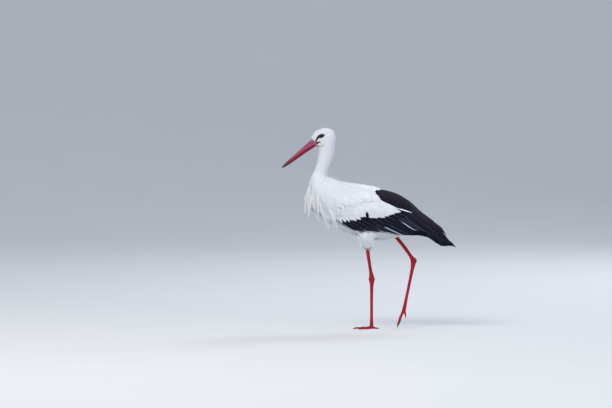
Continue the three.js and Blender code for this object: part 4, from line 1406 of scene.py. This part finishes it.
# One half of the bill: sign is 1 for the upper and -1 for the lower
def billHalf(name, sign):
    roundTip = bill["tip"] * (1 - np.sin(np.linspace(0.1, 1, 8) * math.pi / 2))
    along = np.concatenate([np.linspace(-bill["into"], bill["length"] - bill["tip"], bill["steps"]),
                            bill["length"] - roundTip])[:, None]
    share = atRows(taperRows, along[:, 0] / bill["length"])[:, None]
    blunt = np.sqrt(1 - 0.9 * np.clip((along - bill["length"] + 5) / 5, 0, 1) ** 2)
    halfDepth = np.maximum(bill["depth"] / 2 * share, 1.5) * blunt
    halfWidth = np.maximum(bill["width"] / 2 * share**1.15, 1.3) * blunt
    edge = atRows(gapeRows, along[:, 0])[:, None] + sign * bill["gap"]
    span = np.abs(bill["centre"] + sign * halfDepth - edge)
    # the outer half of the section, from one cutting edge over the ridge to the other
    turn = np.linspace(0, math.pi, bill["count"] // 2 + 1)[None]
    wide = np.cos(turn)
    rise = edge + sign * span * np.sin(turn) ** 0.92
    if sign > 0:
        rise += bill["keel"] * share * np.exp(-(wide / 0.16) ** 2)
    out = halfWidth * (np.sign(wide) * np.abs(wide) ** 0.86)
    up = (rise - edge) / span
    nostril = np.exp(-((along - bill["nostril"][0]) / 7) ** 2 - (up - bill["nostril"][1]) ** 2 / 0.009)
    groove = np.exp(-(up - 0.66) ** 2 / 0.01) * ease(70, 25, along)
    if sign > 0:
        out = out * (1 - 0.16 * nostril - 0.04 * groove)
    # the flat inside of the section, between the cutting edges
    innerOut = halfWidth * 0.92 * np.linspace(-1, 1, 7)[None, 1:-1]
    innerRise = np.broadcast_to(edge + sign * 0.05, innerOut.shape)
    inside = np.zeros(innerOut.shape)
    # rings run over the outside, then back along the inside
    rings = facePoint(np.broadcast_to(along, (len(along), turn.size + 5)), np.hstack([rise, innerRise]),
                      np.hstack([out, innerOut]))
    points, faces = closedRings(rings)
    steps, count = rings.shape[:2]
    tipShare = np.repeat(np.clip(along[:, 0] / bill["length"], 0, 1), count)
    level = np.hstack([np.abs(rise - edge) / span, inside])
    # painted shade along the cutting edges, where the gap between the jaws lies
    seam = np.exp(-(level * span / 2.2) ** 2) * ease(-12, 2, along)
    tipStain = ease(0.6, 0.82, along / bill["length"]) * (0.85 - 0.55 * level * (sign > 0))
    stainAndShade = np.maximum(seam, tipStain)
    # painted shade in the nostrils' openings
    if sign > 0:
        stainAndShade = np.maximum(stainAndShade, np.hstack([0.75 * nostril, inside]))
    marks = {"tipShare": tipShare, "stainAndShade": np.clip(stainAndShade, 0, 1).ravel(), "level": level.ravel(),
             "lower": np.full(len(points), float(sign < 0))}
    piece = meshObject(name + "_horn", points, faces, [materials["bill"]], marks,
                       np.stack([tipShare, np.tile(np.arange(count) / count, steps)], 1))
    settle(piece, "bill_horn", name)


billHalf("bill_upper", 1)
billHalf("bill_lower", -1)


def eyeball(side, sign):
    centre = facePoint(eye["along"], eye["rise"], sign * eye["out"])
    rings, spokes = 24, 40
    turn = np.linspace(0.02, math.pi - 0.02, rings)
    spin = 2 * math.pi * np.arange(spokes) / spokes
    place = np.stack([np.sin(turn)[:, None] * np.cos(spin), np.cos(turn)[:, None] * sign * np.ones(spokes),
                      np.sin(turn)[:, None] * np.sin(spin)], -1)
    points, faces = closedRings(centre + (eye["radius"] - 0.3) * mm * place)
    offCentre = np.repeat(np.sin(turn) * np.where(turn < math.pi / 2, 1, 2), spokes)
    bakeMap = np.stack([np.repeat(turn / math.pi, spokes), np.tile(spin / (2 * math.pi), rings)], 1)
    piece = meshObject("eyeball_" + side, points, faces, [materials["eye"]],
                       {"offCentre": offCentre * eye["radius"] / eye["opening"]}, bakeMap)
    settle(piece, "eye", "eye_" + side)


def claw(side, toe):
    points, faces = tube(clawRows(feet[side], toe), 16, 14)
    if side == "left":
        points[:, 2] = np.maximum(points[:, 2], 0)
    bakeMap = ((points - points.min(0)) / np.ptp(points, axis=0).max())[:, [0, 2]]
    piece = meshObject("horn_" + side + "_" + toe, points, faces, [materials["claw"]], {}, bakeMap)
    settle(piece, "claw_horn", "claw_" + side + "_" + toe)


for side, sign in (("left", -1), ("right", 1)):
    eyeball(side, sign)
    for toe in toes["length"]:
        claw(side, toe)


studio = {"distance": 20.0, "elevation": 3.0, "frameWidth": 2.662, "aim": [-0.2745 + shift, 0, 0.54375]}
floor = {"front": -26, "sweep": 6, "radius": 8, "wall": 16, "half": 20}
# Place, diameter, power and colour of each lamp
lamps = {"key": [(-2.5, -3.5, 5.0), 3.0, 235, "#FFF8EE"], "fill": [(3.5, -5.0, 2.5), 4.0, 85, "#EAF2FF"],
         "back": [(2.5, 4.0, 4.0), 2.5, 150, "#F2F6FF"]}


# A flat floor that sweeps up far behind into a back wall, with no line between them
def floorSheet():
    turn = np.linspace(0, math.pi / 2, 40)
    sweep = floor["radius"] * np.stack([np.sin(turn), 1 - np.cos(turn)], 1) + [floor["sweep"], 0]
    level = [[y, 0] for y in (floor["front"], -10, 0, 5)]
    profile = np.vstack([level, sweep, [[sweep[-1, 0], floor["wall"]]]])
    points = np.array([[x, y, z] for y, z in profile for x in (-floor["half"], floor["half"])])
    faces = np.array([[2 * i, 2 * i + 1, 2 * i + 3, 2 * i + 2] for i in range(len(profile) - 1)])
    meshObject("studio_floor", points, faces, [materials["floor"]])


def turnedTo(thing, place, target):
    thing.location = place
    thing.rotation_euler = (target - Vector(place)).to_track_quat("-Z", "Y").to_euler()
    bpy.context.scene.collection.objects.link(thing)
    return thing


def softBox(name, place, size, power, colour):
    light = bpy.data.lights.new(name, "AREA")
    light.shape, light.size, light.energy, light.color = "DISK", size, power, linear(colour)[:3]
    turnedTo(bpy.data.objects.new(name, light), place, Vector((0, 0, 0.5)))


floorSheet()
for name, values in lamps.items():
    softBox(name, *values)
world = bpy.data.worlds.new("studio")
world.use_nodes = True
world.node_tree.nodes["Background"].inputs["Color"].default_value = linear("#E6EEFA")
world.node_tree.nodes["Background"].inputs["Strength"].default_value = 0.8
bpy.context.scene.world = world
bpy.context.scene.view_settings.view_transform = "Standard"

rise = math.radians(studio["elevation"])
aim = Vector(studio["aim"])
cameraPlace = aim + Vector((0, -math.cos(rise), math.sin(rise))) * studio["distance"]
camera = turnedTo(bpy.data.objects.new("camera", bpy.data.cameras.new("camera")), cameraPlace, aim)
camera.data.sensor_width = 36
camera.data.lens = 36 * studio["distance"] / studio["frameWidth"]
camera.data.clip_end = 100
bpy.context.scene.camera = camera
print("floor, lights and camera")
